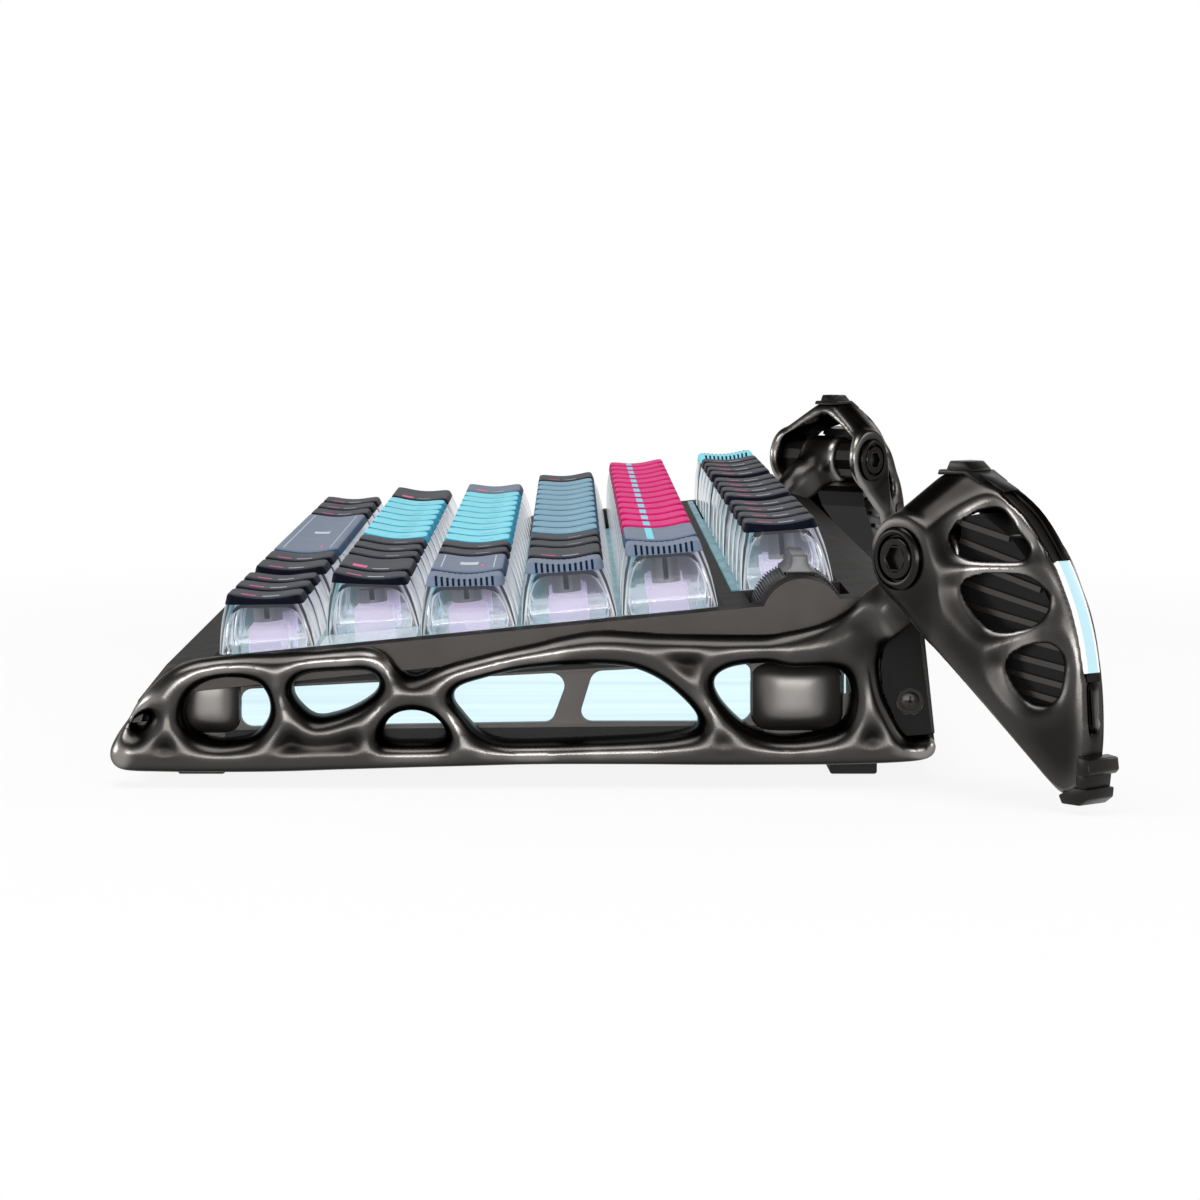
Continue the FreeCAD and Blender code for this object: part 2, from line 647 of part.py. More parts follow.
def make_plate_gaskets():
    """Foam strips between the underside of the cover and the front and rear edges of the plate."""
    body = new_body("plate_gaskets", deck_place())
    front, rear = plate_span()
    gap = size("plate_drop") - size("cover_thick")
    margin = size("well_margin")
    strips = new_sketch(body, "gasket_strips", "XY_Plane", shift=-size("cover_thick"))
    front_line = (front + (ROWS["bottom"] - 0.5) * PITCH - margin) / 2
    rear_line = (rear + (ROWS["function"] + 0.5) * PITCH + margin) / 2
    depth = size("plate_margin") - margin
    length = size("gasket_length")
    for x in (-FIELD_HALF * 0.6, 0, FIELD_HALF * 0.6):
        add_rectangle(strips, length, depth, x, front_line)
        add_rectangle(strips, length, depth, x - PITCH, rear_line)
    pad(body, strips, gap, reverse=True)
    return body


def rear_lip():
    """Rear edge of the top cover, just inside the top of the rear cover's face."""
    return size("rear_wall_y") + size("rear_cover_depth") - size("rear_cover_lean") - 0.6


def cover_side(depth):
    """Side view of the top cover: deck, leaning front apron and rear lip, with a given thickness."""
    shoulder, edge, rear = size("front_shoulder"), size("front_edge"), size("rear_edge")
    apron = size("apron_wall")
    lip, seat = rear_lip(), size("rear_cover_top") + size("seat_clearance")
    outer = [(edge, size("split_height")), (edge + 1.8, size("split_height") + 4.2), (shoulder, deck_z(shoulder))]
    outer += [(rear - 4, deck_z(rear - 4)), (lip, seat + 1.2), (lip, seat)]
    inner = [(rear - 2, seat), (rear - 4, deck_z(rear - 4) - depth)]
    inner += [(shoulder + apron, deck_z(shoulder + apron) - depth)]
    inner += [(edge + 1.8 + apron, size("split_height") + 4.2), (edge + apron, size("split_height"))]
    return outer + inner


def well_outlines():
    """Openings in the deck: main key field, function row and thumb roller."""
    margin = size("well_margin")
    left, right = -FIELD_HALF - margin, FIELD_HALF + margin
    front = (ROWS["bottom"] - 0.5) * PITCH - margin
    bar_front = (ROWS["number"] + 0.5) * PITCH + margin
    bar_rear = (ROWS["function"] - 0.5) * PITCH - size("light_strip_width")
    rear = (ROWS["function"] + 0.5) * PITCH + margin
    edge = roller_edge()
    reach = size("roller_radius") + size("roller_clearance")
    middle = size("roller_y")
    start = edge + margin + size("deck_web")
    end = start + size("roller_length") + 2 * (size("bracket_thick") + margin + size("slide_clearance"))
    return [
        (left, front, right, bar_front),
        (left, bar_rear, edge + margin, rear),
        (start, middle - reach, end, middle + reach),
    ]


def make_top_cover():
    """Deck frame with its front apron, side skirts, key wells and the roller's arch."""
    body = new_body("top_cover", desk_place())
    side = new_sketch(body, "cover_side", "YZ_Plane")
    add_loop(side, cover_side(size("cover_thick")))
    pad(body, side, "sizes.cover_width", centred=True)
    skirt = new_sketch(body, "cover_skirts", "YZ_Plane", shift=size("cover_width") / 2)
    shoulder, rear = size("front_shoulder"), size("rear_edge") - 4
    drop = size("cover_skirt")
    root = 1.0
    low = [(shoulder, deck_z(shoulder) - drop), (rear, deck_z(rear) - drop)]
    add_loop(skirt, low + [(rear, deck_z(rear) - root), (shoulder, deck_z(shoulder) - root)])
    right = pad(body, skirt, "sizes.cover_skirt_wall", reverse=True)
    doc.recompute()
    twin = body.newObject("PartDesign::Mirrored", "cover_skirt_twin")
    twin.Originals = [right]
    twin.MirrorPlane = (plane_of(body, "YZ_Plane"), [""])
    body.Tip = twin
    doc.recompute()
    arch = new_sketch(body, "roller_arch", "YZ_Plane", shift=size("cover_width") / 2)
    middle, height, radius = size("roller_y"), size("roller_height"), size("arch_radius")
    foot = deck_z(middle) - size("cover_thick")
    crown = [(middle - radius, height), (middle, height + radius), (middle + radius, height)]
    arch.addGeometry(Part.Arc(*[Vector(y, z, 0) for y, z in crown]), False)
    ends = [(middle + radius, height), (middle + radius, foot), (middle - radius, foot), (middle - radius, height)]
    for start, end in zip(ends, ends[1:]):
        arch.addGeometry(Part.LineSegment(Vector(*start, 0), Vector(*end, 0)), False)
    pad(body, arch, size("cover_width") / 2 - roller_end() - size("bracket_thick"), reverse=True)
    wells = new_sketch(body, "key_wells", "XY_Plane")
    over_deck = 2.0
    wells.AttachmentOffset = tilted(over_deck)
    for x0, y0, x1, y1 in well_outlines():
        add_loop(wells, [(x0, y0), (x1, y0), (x1, y1), (x0, y1)])
    before = volume(body)
    pocket(body, wells, over_deck + 2 * size("cover_thick"))
    if volume(body) >= before:
        raise ValueError("the key wells cut nothing")
    return body


def roller_start():
    return well_outlines()[2][0] + size("bracket_thick") + size("well_margin") + size("slide_clearance")


def roller_end():
    return roller_start() + size("roller_length")


def make_roller():
    """Knurled thumb roller with its finger tab, on its axle between the bracket's cheeks."""
    place = Placement(Vector(0, size("home_line_y") + size("roller_y"), size("roller_height")), Rotation())
    wheel = new_body("thumb_roller", place)
    rim = new_sketch(wheel, "roller_rim", "YZ_Plane", shift=roller_start())
    outer, inner = size("roller_radius"), size("roller_radius") - size("roller_groove")
    teeth = 30
    tab_half = math.degrees(math.asin(size("roller_tab_width") / 2 / outer))
    points = []
    for index in range(teeth * 2):
        angle = 360.0 * index / (teeth * 2)
        if abs(angle - 90) < tab_half + 4:
            continue
        radius = outer if index % 2 else inner
        points.append((angle, radius))
    tip = outer + size("roller_tab")
    tab = [(90 - tab_half, outer - 0.2), (90 - tab_half * 0.8, tip)]
    tab += [(90 + tab_half * 0.8, tip), (90 + tab_half, outer - 0.2)]
    points = sorted(points + tab, key=lambda item: item[0])
    add_loop(rim, [(r * math.cos(math.radians(a)), r * math.sin(math.radians(a))) for a, r in points])
    bore = size("axle_radius") + size("seat_clearance")
    add_polygon(rim, bore, 12)
    pad(wheel, rim, "sizes.roller_length")

    axle = new_body("roller_axle", place)
    section = new_sketch(axle, "axle_section", "YZ_Plane", shift=roller_start() - size("bracket_thick"))
    add_polygon(section, size("axle_radius") * math.cos(math.pi / 12), 12)
    pad(axle, section, "sizes.roller_length + 2 * sizes.bracket_thick")

    bracket = new_body("roller_bracket", place)
    reach = size("roller_radius") + size("roller_clearance")
    gap = size("well_margin")
    cheek_ends = [("inner_cheek", roller_start() - gap)]
    cheek_ends += [("outer_cheek", roller_end() + gap + size("bracket_thick"))]
    for name, x in cheek_ends:
        cheek = new_sketch(bracket, name, "YZ_Plane", shift=x)
        top = size("axle_radius") + 1.2
        low = -reach - size("bracket_thick")
        half, crown = reach * 0.7, size("axle_radius") + 1.5
        add_loop(cheek, [(-half, low), (half, low), (half, 0), (crown, top), (-crown, top), (-half, 0)])
        add_polygon(cheek, bore, 12)
        pad(bracket, cheek, "sizes.bracket_thick", reverse=True)
    floor = new_sketch(bracket, "bracket_floor", "XY_Plane", shift=-reach - size("bracket_thick"))
    start, end = roller_start() - gap - size("bracket_thick"), roller_end() + gap + size("bracket_thick")
    add_loop(floor, [(start, -reach * 0.7), (end, -reach * 0.7), (end, reach * 0.7), (start, reach * 0.7)])
    pad(bracket, floor, "sizes.bracket_thick")
    return [wheel, axle, bracket]


def add_polygon(sketch, radius, sides, x=0.0, y=0.0, turn=0.0):
    """A regular polygon inside a circle."""
    step = 2 * math.pi / sides
    angles = [turn + index * step for index in range(sides)]
    add_loop(sketch, [(x + radius * math.cos(a), y + radius * math.sin(a)) for a in angles])


def make_lower_case():
    """Tray with glazed side windows that carries the plate, the board and the rear cover."""
    body = new_body("lower_case", desk_place())
    edge, bottom, rear = size("front_edge"), size("case_bottom"), size("rear_wall_y")
    split, shoulder = size("split_height"), size("front_shoulder")
    skin = size("plate_drop") + size("plate_thick") + size("seat_clearance")
    side = new_sketch(body, "case_side", "YZ_Plane")
    rise = shoulder + 6
    outer = [(edge + 3, bottom), (edge, bottom + 3), (edge, split), (rise, split)]
    outer += [(rise + 4, deck_z(rise + 4) - skin), (rear, deck_z(rear) - skin), (rear, bottom)]
    add_loop(side, outer)
    pad(body, side, "sizes.case_width", centred=True)
    hollow = new_sketch(body, "case_hollow", "YZ_Plane")
    wall, floor = size("case_wall"), size("case_floor")
    high = deck_z(rear)
    front = [(edge + wall + 1, bottom + floor), (edge + wall, bottom + floor + 2), (edge + wall, high)]
    add_loop(hollow, front + [(rear - wall, high), (rear - wall, bottom + floor)])
    pocket(body, hollow, "sizes.case_width - 2 * sizes.case_wall", centred=True)
    windows = new_sketch(body, "case_windows", "YZ_Plane")
    sill, drop = size("window_sill"), size("window_drop")
    for start, end in CASE_WINDOWS:
        front_top, rear_top = deck_z(start) - drop, deck_z(end) - drop
        front_round = min(WINDOW_CORNER, (front_top - sill) * 0.4)
        rear_round = min(WINDOW_CORNER, (rear_top - sill) * 0.4)
        low = [((start, sill), front_round), ((end, sill), rear_round)]
        add_rounded_loop(windows, low + [((end, rear_top), rear_round), ((start, front_top), front_round)])
    pocket(body, windows, None, centred=True)
    sinks = new_sketch(body, "screw_sinks", "XY_Plane", shift=bottom)
    holes = new_sketch(body, "screw_holes", "XY_Plane", shift=bottom)
    clear = size("seat_clearance")
    for x, y in floor_screw_places():
        add_polygon(sinks, size("screw_head") / 2 + clear, 8, x, y)
        add_polygon(holes, size("screw_shank") / 2 + clear, 6, x, y)
    pocket(body, sinks, "sizes.screw_head_thick + 3 * sizes.seat_clearance", reverse=True)
    pocket(body, holes, "sizes.case_floor * 2", reverse=True)
    port = new_sketch(body, "port_opening", "XZ_Plane", shift=-rear)
    room = 2 * clear
    add_rectangle(port, size("port_width") + room, size("port_height") + room, size("port_x"), size("port_z"))
    before = volume(body)
    pocket(body, port, "2 * sizes.case_wall", centred=True)
    if volume(body) >= before:
        raise ValueError("the port opening cuts nothing")
    return body


def make_side_diffusers():
    """Lit panels behind the side windows, one on each side."""
    body = new_body("side_diffusers", desk_place())
    outer = size("case_width") / 2 - size("case_wall") - size("seat_clearance")
    start, end = CASE_WINDOWS[0][0] - 2, CASE_WINDOWS[-1][1] + 2
    low = size("case_bottom") + size("case_floor")
    under = size("plate_drop") + size("plate_thick") + size("seat_clearance") * 2
    for name, x, reverse in (("right_panel", outer, True), ("left_panel", -outer, False)):
        panel = new_sketch(body, name, "YZ_Plane", shift=x)
        add_loop(panel, [(start, low), (end, low), (end, deck_z(end) - under), (start, deck_z(start) - under)])
        pad(body, panel, "sizes.diffuser_thick", reverse=reverse)
    return body


def make_rear_cover():
    """Rear cover across the back, with the mouth of the cable socket."""
    body = new_body("rear_cover", desk_place())
    near = size("rear_wall_y")
    foot, top = size("rear_cover_foot"), size("rear_cover_top")
    depth, lean = size("rear_cover_depth"), size("rear_cover_lean")
    side = new_sketch(body, "rear_side", "YZ_Plane")
    back = near + depth
    add_loop(side, [(near, foot), (back, foot), (back - lean, top - 2), (back - lean - 2, top), (near, top)])
    pad(body, side, "sizes.case_width", centred=True)
    clear = size("seat_clearance")
    half = size("cover_width") / 2
    rise = deck_z(size("rear_edge") - 4) - size("cover_skirt") - clear
    frame = offset_path([point for point, _ in FRAME_REAR], clear * 4)
    heel = FRAME_HEEL[0][0][1] + clear
    end = [(near, rise), (frame[0][0], rise)] + frame[1:3]
    end += [(FRAME_REAR[3][0][0] + clear * 4, heel + 0.8), (back - 0.5, heel + 0.8), (back - lean, rise)]
    for name, x, reverse in (("right_end", half, True), ("left_end", -half, False)):
        cheek = new_sketch(body, name, "YZ_Plane", shift=x)
        add_loop(cheek, end)
        pad(body, cheek, "(sizes.cover_width - sizes.case_width) / 2", reverse=reverse)
        recess = new_sketch(body, name + "_recess", "YZ_Plane", shift=x)
        add_polygon(recess, size("screw_head") / 2 + 2 * clear, 8, size("end_screw_y"), size("end_screw_z"))
        pocket(body, recess, "sizes.screw_head_thick * 1.6", reverse=not reverse)
        hole = new_sketch(body, name + "_hole", "YZ_Plane", shift=x)
        add_polygon(hole, size("screw_shank") / 2 + clear, 6, size("end_screw_y"), size("end_screw_z"))
        pocket(body, hole, "sizes.screw_length + 2 * sizes.screw_head_thick", reverse=not reverse)
    mouth = new_sketch(body, "socket_mouth", "XZ_Plane", shift=-near)
    room = 2 * size("seat_clearance")
    add_rectangle(mouth, size("port_width") + room, size("port_height") + room, size("port_x"), size("port_z"))
    before = volume(body)
    pocket(body, mouth, None, centred=True)
    if volume(body) >= before:
        raise ValueError("the socket mouth cuts nothing")
    return body


def slot_corners(x, z, half_width, half_height):
    """Corners of a flat slot with nearly round ends."""
    left, right, low, high = x - half_width, x + half_width, z - half_height, z + half_height
    corner = half_height * 0.95
    return [((left, low), corner), ((right, low), corner), ((right, high), corner), ((left, high), corner)]


def make_socket():
    """Cable socket: a flat sleeve closed at its back, flush with the rear cover."""
    body = new_body("cable_socket", desk_place())
    rear = size("rear_wall_y") + size("rear_cover_depth") - size("rear_cover_lean")
    shell = new_sketch(body, "socket_shell", "XZ_Plane", shift=-rear)
    width, height, wall = size("port_width"), size("port_height"), size("port_wall")
    x, z = size("port_x"), size("port_z")
    r = height / 2
    add_rounded_loop(shell, slot_corners(x, z, width / 2, r))
    pad(body, shell, "sizes.port_depth")
    bore = new_sketch(body, "socket_bore", "XZ_Plane", shift=-rear)
    add_rounded_loop(bore, slot_corners(x, z, width / 2 - wall, r - wall))
    before = volume(body)
    pocket(body, bore, "sizes.port_depth - 2 * sizes.port_wall", reverse=True)
    if volume(body) >= before:
        raise ValueError("the socket bore cuts nothing")
    return body


def make_side_frame():
    """Right side frame: a cast web with five openings and the arm that carries the leg."""
    body = new_body("side_frame_right", desk_place())
    outer = size("frame_width") / 2
    inner = size("case_width") / 2
    web = new_sketch(body, "frame_web", "YZ_Plane", shift=outer)
    shoulder = [((FRAME_SHOULDER_Y, deck_z(FRAME_SHOULDER_Y) - 0.6), 4.0)]
    add_rounded_loop(web, FRAME_NOSE + shoulder + FRAME_TOP + FRAME_REAR + FRAME_HEEL)
    pad(body, web, "(sizes.frame_width - sizes.case_width) / 2", reverse=True)
    seat = new_sketch(body, "cover_seat", "YZ_Plane", shift=inner)
    shoulder, rear = size("front_shoulder"), size("rear_edge")
    drop = size("cover_skirt") + size("seat_clearance")
    apron = cover_side(size("cover_thick"))[:3]
    low = (shoulder + size("apron_wall") + 2, deck_z(shoulder) - drop)
    clear = size("seat_clearance")
    above = 60.0
    start, step = apron[0][0] - 3, apron[0][1] - clear
    end = deck_z(rear) - drop
    outline = [(start, step), (low[0] - 7, step), low, (rear, end)]
    outline += [(rear + 4, end), (rear + 4, above), (start, above)]
    add_loop(seat, outline)
    before = volume(body)
    pocket(body, seat, "(sizes.cover_width - sizes.case_width) / 2 + sizes.seat_clearance", reverse=True)
    if volume(body) >= before:
        raise ValueError("the seat of the cover cuts nothing")
    holes = new_sketch(body, "frame_openings", "YZ_Plane", shift=outer)
    for hole in FRAME_HOLES:
        add_rounded_loop(holes, hole)
    pocket(body, holes, None, centred=True)
    doc.recompute()
    add_arm(body)
    return body


def arm_frame(body, name, place):
    sketch = body.newObject("Sketcher::SketchObject", name)
    sketch.AttachmentSupport = (plane_of(body, "XY_Plane"), [""])
    sketch.MapMode = "FlatFace"
    sketch.AttachmentOffset = place
    return sketch


def add_arm(body):
    """The arm sweeps up and out of the frame's rear corner to the barrel between the leg's ears."""
    hinge = Vector(size("hinge_x"), size("hinge_y"), size("hinge_height"))
    splay = Rotation(Vector(0, 0, 1), size("splay_angle"))
    foot = size("arm_foot")
    root = Vector(size("cover_width") / 2 + size("arm_set") + foot / 2, *ARM_ROOT)
    end = hinge + splay.multVec(Vector(-3.5, 0, -2.5))
    bend = root + (end - root) * 0.55 + Vector(0.8, -1.0, -1.2)
    stations = [(root, foot, 12.0), (bend, 8.4, 11.5), (end, size("arm_width") - 2.4, 8.0)]
    sketches = []
    for index, (point, width, height) in enumerate(stations):
        aim = (end - root).normalize() if index else (bend - root).normalize()
        across = splay.multVec(Vector(0, 1, 0)) if index == 2 else Vector(-0.95, 0.3, 0).normalize()
        if index == 1:
            across = (splay.multVec(Vector(0, 1, 0)) + Vector(-0.95, 0.3, 0)).normalize()
        across = (across - aim * across.dot(aim)).normalize()
        up = aim.cross(across)
        sketch = arm_frame(body, f"arm_station_{index}", Placement(point, Rotation(across, up, aim, "ZXY")))
        corner = min(width, height) * 0.28
        w, t = width / 2, height / 2
        quarter = [(w - corner, t), (w, t - corner)]
        right = [(x, -y) for x, y in quarter] + quarter[::-1]
        add_loop(sketch, right + [(-x, y) for x, y in right[::-1]])
        sketches.append(sketch)
    loft = body.newObject("PartDesign::AdditiveLoft", "arm_loft")
    loft.Profile = sketches[0]
    loft.Sections = sketches[1:]
    loft.Ruled = True
    doc.recompute()
    upright = splay.multiply(Rotation(Vector(1, 0, 0), 90))
    barrel = arm_frame(body, "arm_barrel", Placement(hinge, upright))
    add_polygon(barrel, size("arm_radius"), 16)
    pad(body, barrel, "sizes.arm_width", centred=True)
    bore = arm_frame(body, "arm_bore", Placement(hinge, upright))
    add_polygon(bore, size("bolt_shank") / 2 + size("hinge_clearance"), 12)
    before = volume(body)
    pocket(body, bore, "sizes.arm_width * 2", centred=True)
    if volume(body) >= before:
        raise ValueError("the arm's bore cuts nothing")


def leg_sections():
    """The four sections of the leg's shell, from one ear to the other."""
    keel, ear = size("keel_width") / 2, size("leg_width") / 2
    middle = KEEL + LEG_INNER
    side = EAR_OUTER + EAR_INNER
    return [(-ear, side), (-keel, middle), (keel, middle), (ear, side)]


def faceted_loft(sections):
    """A solid through closed outlines of as many points each, all of its faces flat."""
    rings = [[Vector(x, y, z) for x, z in points] for y, points in sections]
    count = len(rings[0])
    faces = []
    for ring, following in zip(rings, rings[1:]):
        for index in range(count):
            a, b = ring[index], ring[(index + 1) % count]
            c, d = following[(index + 1) % count], following[index]
            diagonals = ((a, b, c), (a, c, d)) if (c - a).Length < (d - b).Length else ((a, b, d), (b, c, d))
            faces += [Part.Face(Part.makePolygon([*corners, corners[0]])) for corners in diagonals]
    faces += [Part.Face(Part.makePolygon(ring + ring[:1])) for ring in (rings[0], rings[-1])]
    solid = Part.Solid(Part.Shell(faces))
    if solid.Volume < 0:
        solid.reverse()
    return solid


def make_leg_shell():
    """Hull of the right leg: two cheeks that close on a narrow keel, open towards the keyboard."""
    body = new_body("leg_shell_right", leg_place())
    wall = size("leg_wall")
    open_side = -2.5
    ear_rim = 0.4
    inward = [wall] * len(KEEL) + [open_side] * (len(LEG_INNER) - 2) + [wall] * 2
    keel = max(size("keel_width") / 2 - wall, 0.6)
    ear = size("leg_width") / 2 - wall
    middle = offset_loop(KEEL + LEG_INNER, inward)
    ear_inward = [ear_rim] * len(KEEL) + [open_side] * (len(LEG_INNER) - 2) + [ear_rim] * 2
    side = offset_loop(EAR_OUTER + EAR_INNER, ear_inward)
    sections = [(-ear, side), (-keel, middle), (keel, middle), (ear, side)]
    full = faceted_loft(leg_sections())
    hull = full.cut(faceted_loft(sections))
    if hull.Volume >= full.Volume:
        raise ValueError("the leg's cavity cuts nothing")
    body.BaseFeature = feature_of("leg_hull", hull, Placement())
    room = new_sketch(body, "lug_room", "XZ_Plane")
    add_polygon(room, size("arm_radius") + 8 * size("seat_clearance"), 12)
    pocket(body, room, "sizes.leg_width - 2 * sizes.leg_wall", centred=True)
    openings = new_sketch(body, "leg_openings", "XZ_Plane")
    for hole in LEG_HOLES:
        add_loop(openings, hole)
    pocket(body, openings, None, centred=True)
    bore = new_sketch(body, "ear_bore", "XZ_Plane")
    add_polygon(bore, size("bolt_shank") / 2 + size("hinge_clearance"), 12)
    pocket(body, bore, None, centred=True)
    groove = new_sketch(body, "strip_groove", "XZ_Plane")
    add_loop(groove, keel_band(STRIP_SPAN, size("strip_thick") + size("seat_clearance"), 0.5))
    pocket(body, groove, "sizes.strip_width + 2 * sizes.seat_clearance", centred=True)
    return body


def keel_band(span, depth, height):
    """A band along part of the keel, from a depth below its face to a height above it."""
    run = KEEL[span[0]:span[1] + 1]
    inner = offset_path(run, -depth)
    outer = offset_path(run, height)
    return inner + outer[::-1]


def make_leg_parts():
    """What the right leg carries: ribbed core, light strip, rail, clip and foot pad."""
    core = new_body("leg_core_right", leg_place())
    wall = size("leg_wall")
    deep = 7.6
    inner = 1.5
    shape = offset_loop(KEEL + LEG_INNER, [deep] * len(KEEL) + [inner] * len(LEG_INNER))
    web = new_sketch(core, "core_web", "XZ_Plane")
    low = [p for p in shape if p[0] > 9.0 and p[1] > -37]
    add_loop(web, low)
    pad(core, web, "sizes.core_web", centred=True)
    ribs = new_sketch(core, "core_ribs", "XZ_Plane")
    outer_run = offset_path(KEEL[2:7], -(wall + 4.6))
    inner_run = [(11.5, -2.0), (12.5, -7.0), (15.0, -14.0), (19.0, -21.0), (24.5, -28.0)]
    for (x0, y0), (x1, y1) in zip(outer_run, inner_run):
        dx, dy = x1 - x0, y1 - y0
        length = math.hypot(dx, dy)
        nx, ny = -dy / length * 0.7, dx / length * 0.7
        above = [(x0 + nx, y0 + ny), (x1 + nx, y1 + ny)]
        add_loop(ribs, above + [(x1 - nx, y1 - ny), (x0 - nx, y0 - ny)])
    pad(core, ribs, "sizes.core_thick", centred=True)

    strip = new_body("leg_light_right", leg_place())
    outline = new_sketch(strip, "strip_outline", "XZ_Plane")
    add_loop(outline, keel_band(STRIP_SPAN, size("strip_thick"), 0.2))
    pad(strip, outline, "sizes.strip_width", centred=True)

    rail = new_body("leg_rail_right", leg_place())
    outline = new_sketch(rail, "rail_outline", "XZ_Plane")
    add_loop(outline, keel_band(RAIL_SPAN, -0.02, size("rail_thick")))
    pad(rail, outline, "sizes.rail_width", centred=True)

    clip = new_body("leg_clip_right", leg_place())
    outline = new_sketch(clip, "clip_outline", "XZ_Plane")
    (x0, z0), (x1, z1) = LEG_INNER[-1], KEEL[0]
    thick = size("clip_thick")
    foot_line = [(x0 + 0.3, z0 + 0.04), (x1 - 0.1, z1), (x1 + 0.6, z1 + thick * 0.6)]
    add_loop(outline, foot_line + [(x1 - 0.8, z1 + thick), (x0 + 1.2, z1 + thick - 0.2)])
    pad(clip, outline, "sizes.clip_width", centred=True)
    window = new_sketch(clip, "clip_window", "XY_Plane", shift=z1 + thick)
    add_rectangle(window, 2.6, size("clip_width") * 0.42, (x0 + x1) / 2, 0)
    pocket(clip, window, "sizes.clip_thick * 0.5")

    foot = new_body("leg_foot_right", leg_place())
    outline = new_sketch(foot, "foot_outline", "XZ_Plane")
    (a, b), (c, d), (e, f) = KEEL[-2], KEEL[-1], LEG_INNER[0]
    t = size("pad_thick")
    sole = [(a, b), (c, d), (e, f), (e + 1.2, f - t), (c + t * 1.2, d - t)]
    add_loop(outline, sole + [(c + t * 2.2, d + 3.4), (a + t * 1.5, b - 3.0), (a + t, b + 0.6)])
    pad(foot, outline, "sizes.pad_width", centred=True)
    return [core, strip, rail, clip, foot]


def make_hinge_hardware():
    """Two hinge bolts with hexagon sockets, and the bushes that fill the gap beside the lug."""
    bolts = new_body("hinge_bolts_right", leg_place())
    ear = size("leg_width") / 2
    gap = size("seat_clearance")
    for name, sign in (("near", 1), ("far", -1)):
        head = new_sketch(bolts, f"{name}_head", "XZ_Plane", shift=sign * (ear + gap))
        add_polygon(head, size("bolt_head") / 2, 16)
        pad(bolts, head, "sizes.bolt_head_thick", reverse=sign < 0)
        shank = new_sketch(bolts, f"{name}_shank", "XZ_Plane", shift=sign * (ear + gap))
        add_polygon(shank, size("bolt_shank") / 2, 12)
        pad(bolts, shank, "sizes.leg_width / 2 - sizes.seat_clearance", reverse=sign > 0)
        socket = new_sketch(bolts, f"{name}_socket", "XZ_Plane", shift=sign * (ear + gap + size("bolt_head_thick")))
        add_polygon(socket, size("bolt_socket") / math.sqrt(3), 6)
        before = volume(bolts)
        pocket(bolts, socket, "sizes.bolt_head_thick * 0.8", reverse=sign < 0)
        if volume(bolts) >= before:
            raise ValueError("the bolt's socket cuts nothing")

    bushes = new_body("hinge_bushes_right", leg_place())
    lug = size("arm_width") / 2
    wall = size("leg_wall")
    for name, sign in (("near", 1), ("far", -1)):
        ring = new_sketch(bushes, f"{name}_bush", "XZ_Plane", shift=sign * (lug + gap))
        add_polygon(ring, size("bush_outer") / 2, 12)
        add_polygon(ring, size("bolt_shank") / 2 + size("hinge_clearance"), 10)
        pad(bushes, ring, ear - wall - lug - 2 * gap, reverse=sign < 0)
    return [bolts, bushes]


def make_rubber_feet():
    """Four long feet let into the underside."""
    body = new_body("rubber_feet", desk_place())
    reach = size("foot_x")
    places = [(x, y) for x in (-reach, reach) for y in (size("foot_front_y"), size("foot_rear_y"))]
    feet = new_sketch(body, "feet_outline", "XY_Plane")
    for x, y in places:
        add_rectangle(feet, size("foot_length"), size("foot_width"), x, y)
    pad(body, feet, "sizes.case_bottom")
    return body


def floor_screw_places():
    """Screws that hold the case together from below."""
    half, front, rear = size("case_width") / 2 - 10, size("front_edge") + 10, size("rear_wall_y") - 8
    return [(x, y) for x in (-half, 0, half) for y in (front, rear)]


def make_case_screws():
    """Screws under the case, and one in each end of the rear cover."""
    body = new_body("case_screws", desk_place())
    head, shank, thick = size("screw_head") / 2, size("screw_shank") / 2, size("screw_head_thick")
    clear = size("seat_clearance")
    seats = size("case_bottom") + 2 * clear
    heads = new_sketch(body, "floor_heads", "XY_Plane", shift=seats)
    shanks = new_sketch(body, "floor_shanks", "XY_Plane", shift=seats)
    for x, y in floor_screw_places():
        add_polygon(heads, head, 8, x, y)
        add_polygon(shanks, shank, 6, x, y)
    pad(body, heads, thick)
    pad(body, shanks, size("screw_length"))
    y, z = size("end_screw_y"), size("end_screw_z")
    for name, side, reverse in (("right", 1, True), ("left", -1, False)):
        face = side * (size("cover_width") / 2 - 0.6 * thick)
        cap = new_sketch(body, name + "_head", "YZ_Plane", shift=face)
        add_polygon(cap, head, 8, y, z)
        pad(body, cap, thick - clear, reverse=reverse)
        rod = new_sketch(body, name + "_shank", "YZ_Plane", shift=face)
        add_polygon(rod, shank, 6, y, z)
        pad(body, rod, size("screw_length"), reverse=reverse)
    return body


def make_deck_trim():
    """Light strip along the bar in front of the function row, and the clear blank beside the arrows."""
    strip = new_body("deck_light_strip", deck_place())
    x0, line, x1, _ = well_outlines()[1]
    clear = size("seat_clearance")
    outline = new_sketch(strip, "strip_line", "XY_Plane", shift=-size("light_strip_height"))
    width = size("light_strip_width")
    x0, x1 = x0 + clear, x1 - clear
    add_loop(outline, [(x0, line + clear), (x1, line + clear), (x1, line + width), (x0, line + width)])
    pad(strip, outline, "sizes.light_strip_height + 2 * sizes.seat_clearance")
    blank = new_body("clear_blank", deck_place())
    x = key_middles(15, 1, 1)[0]
    y = ROWS["shift"] * PITCH
    block = new_sketch(blank, "blank_outline", "XY_Plane", shift=-size("plate_drop"))
    add_rectangle(block, CAP_DEPTH, CAP_DEPTH, x, y)
    pad(blank, block, "sizes.plate_drop")
    return [strip, blank]


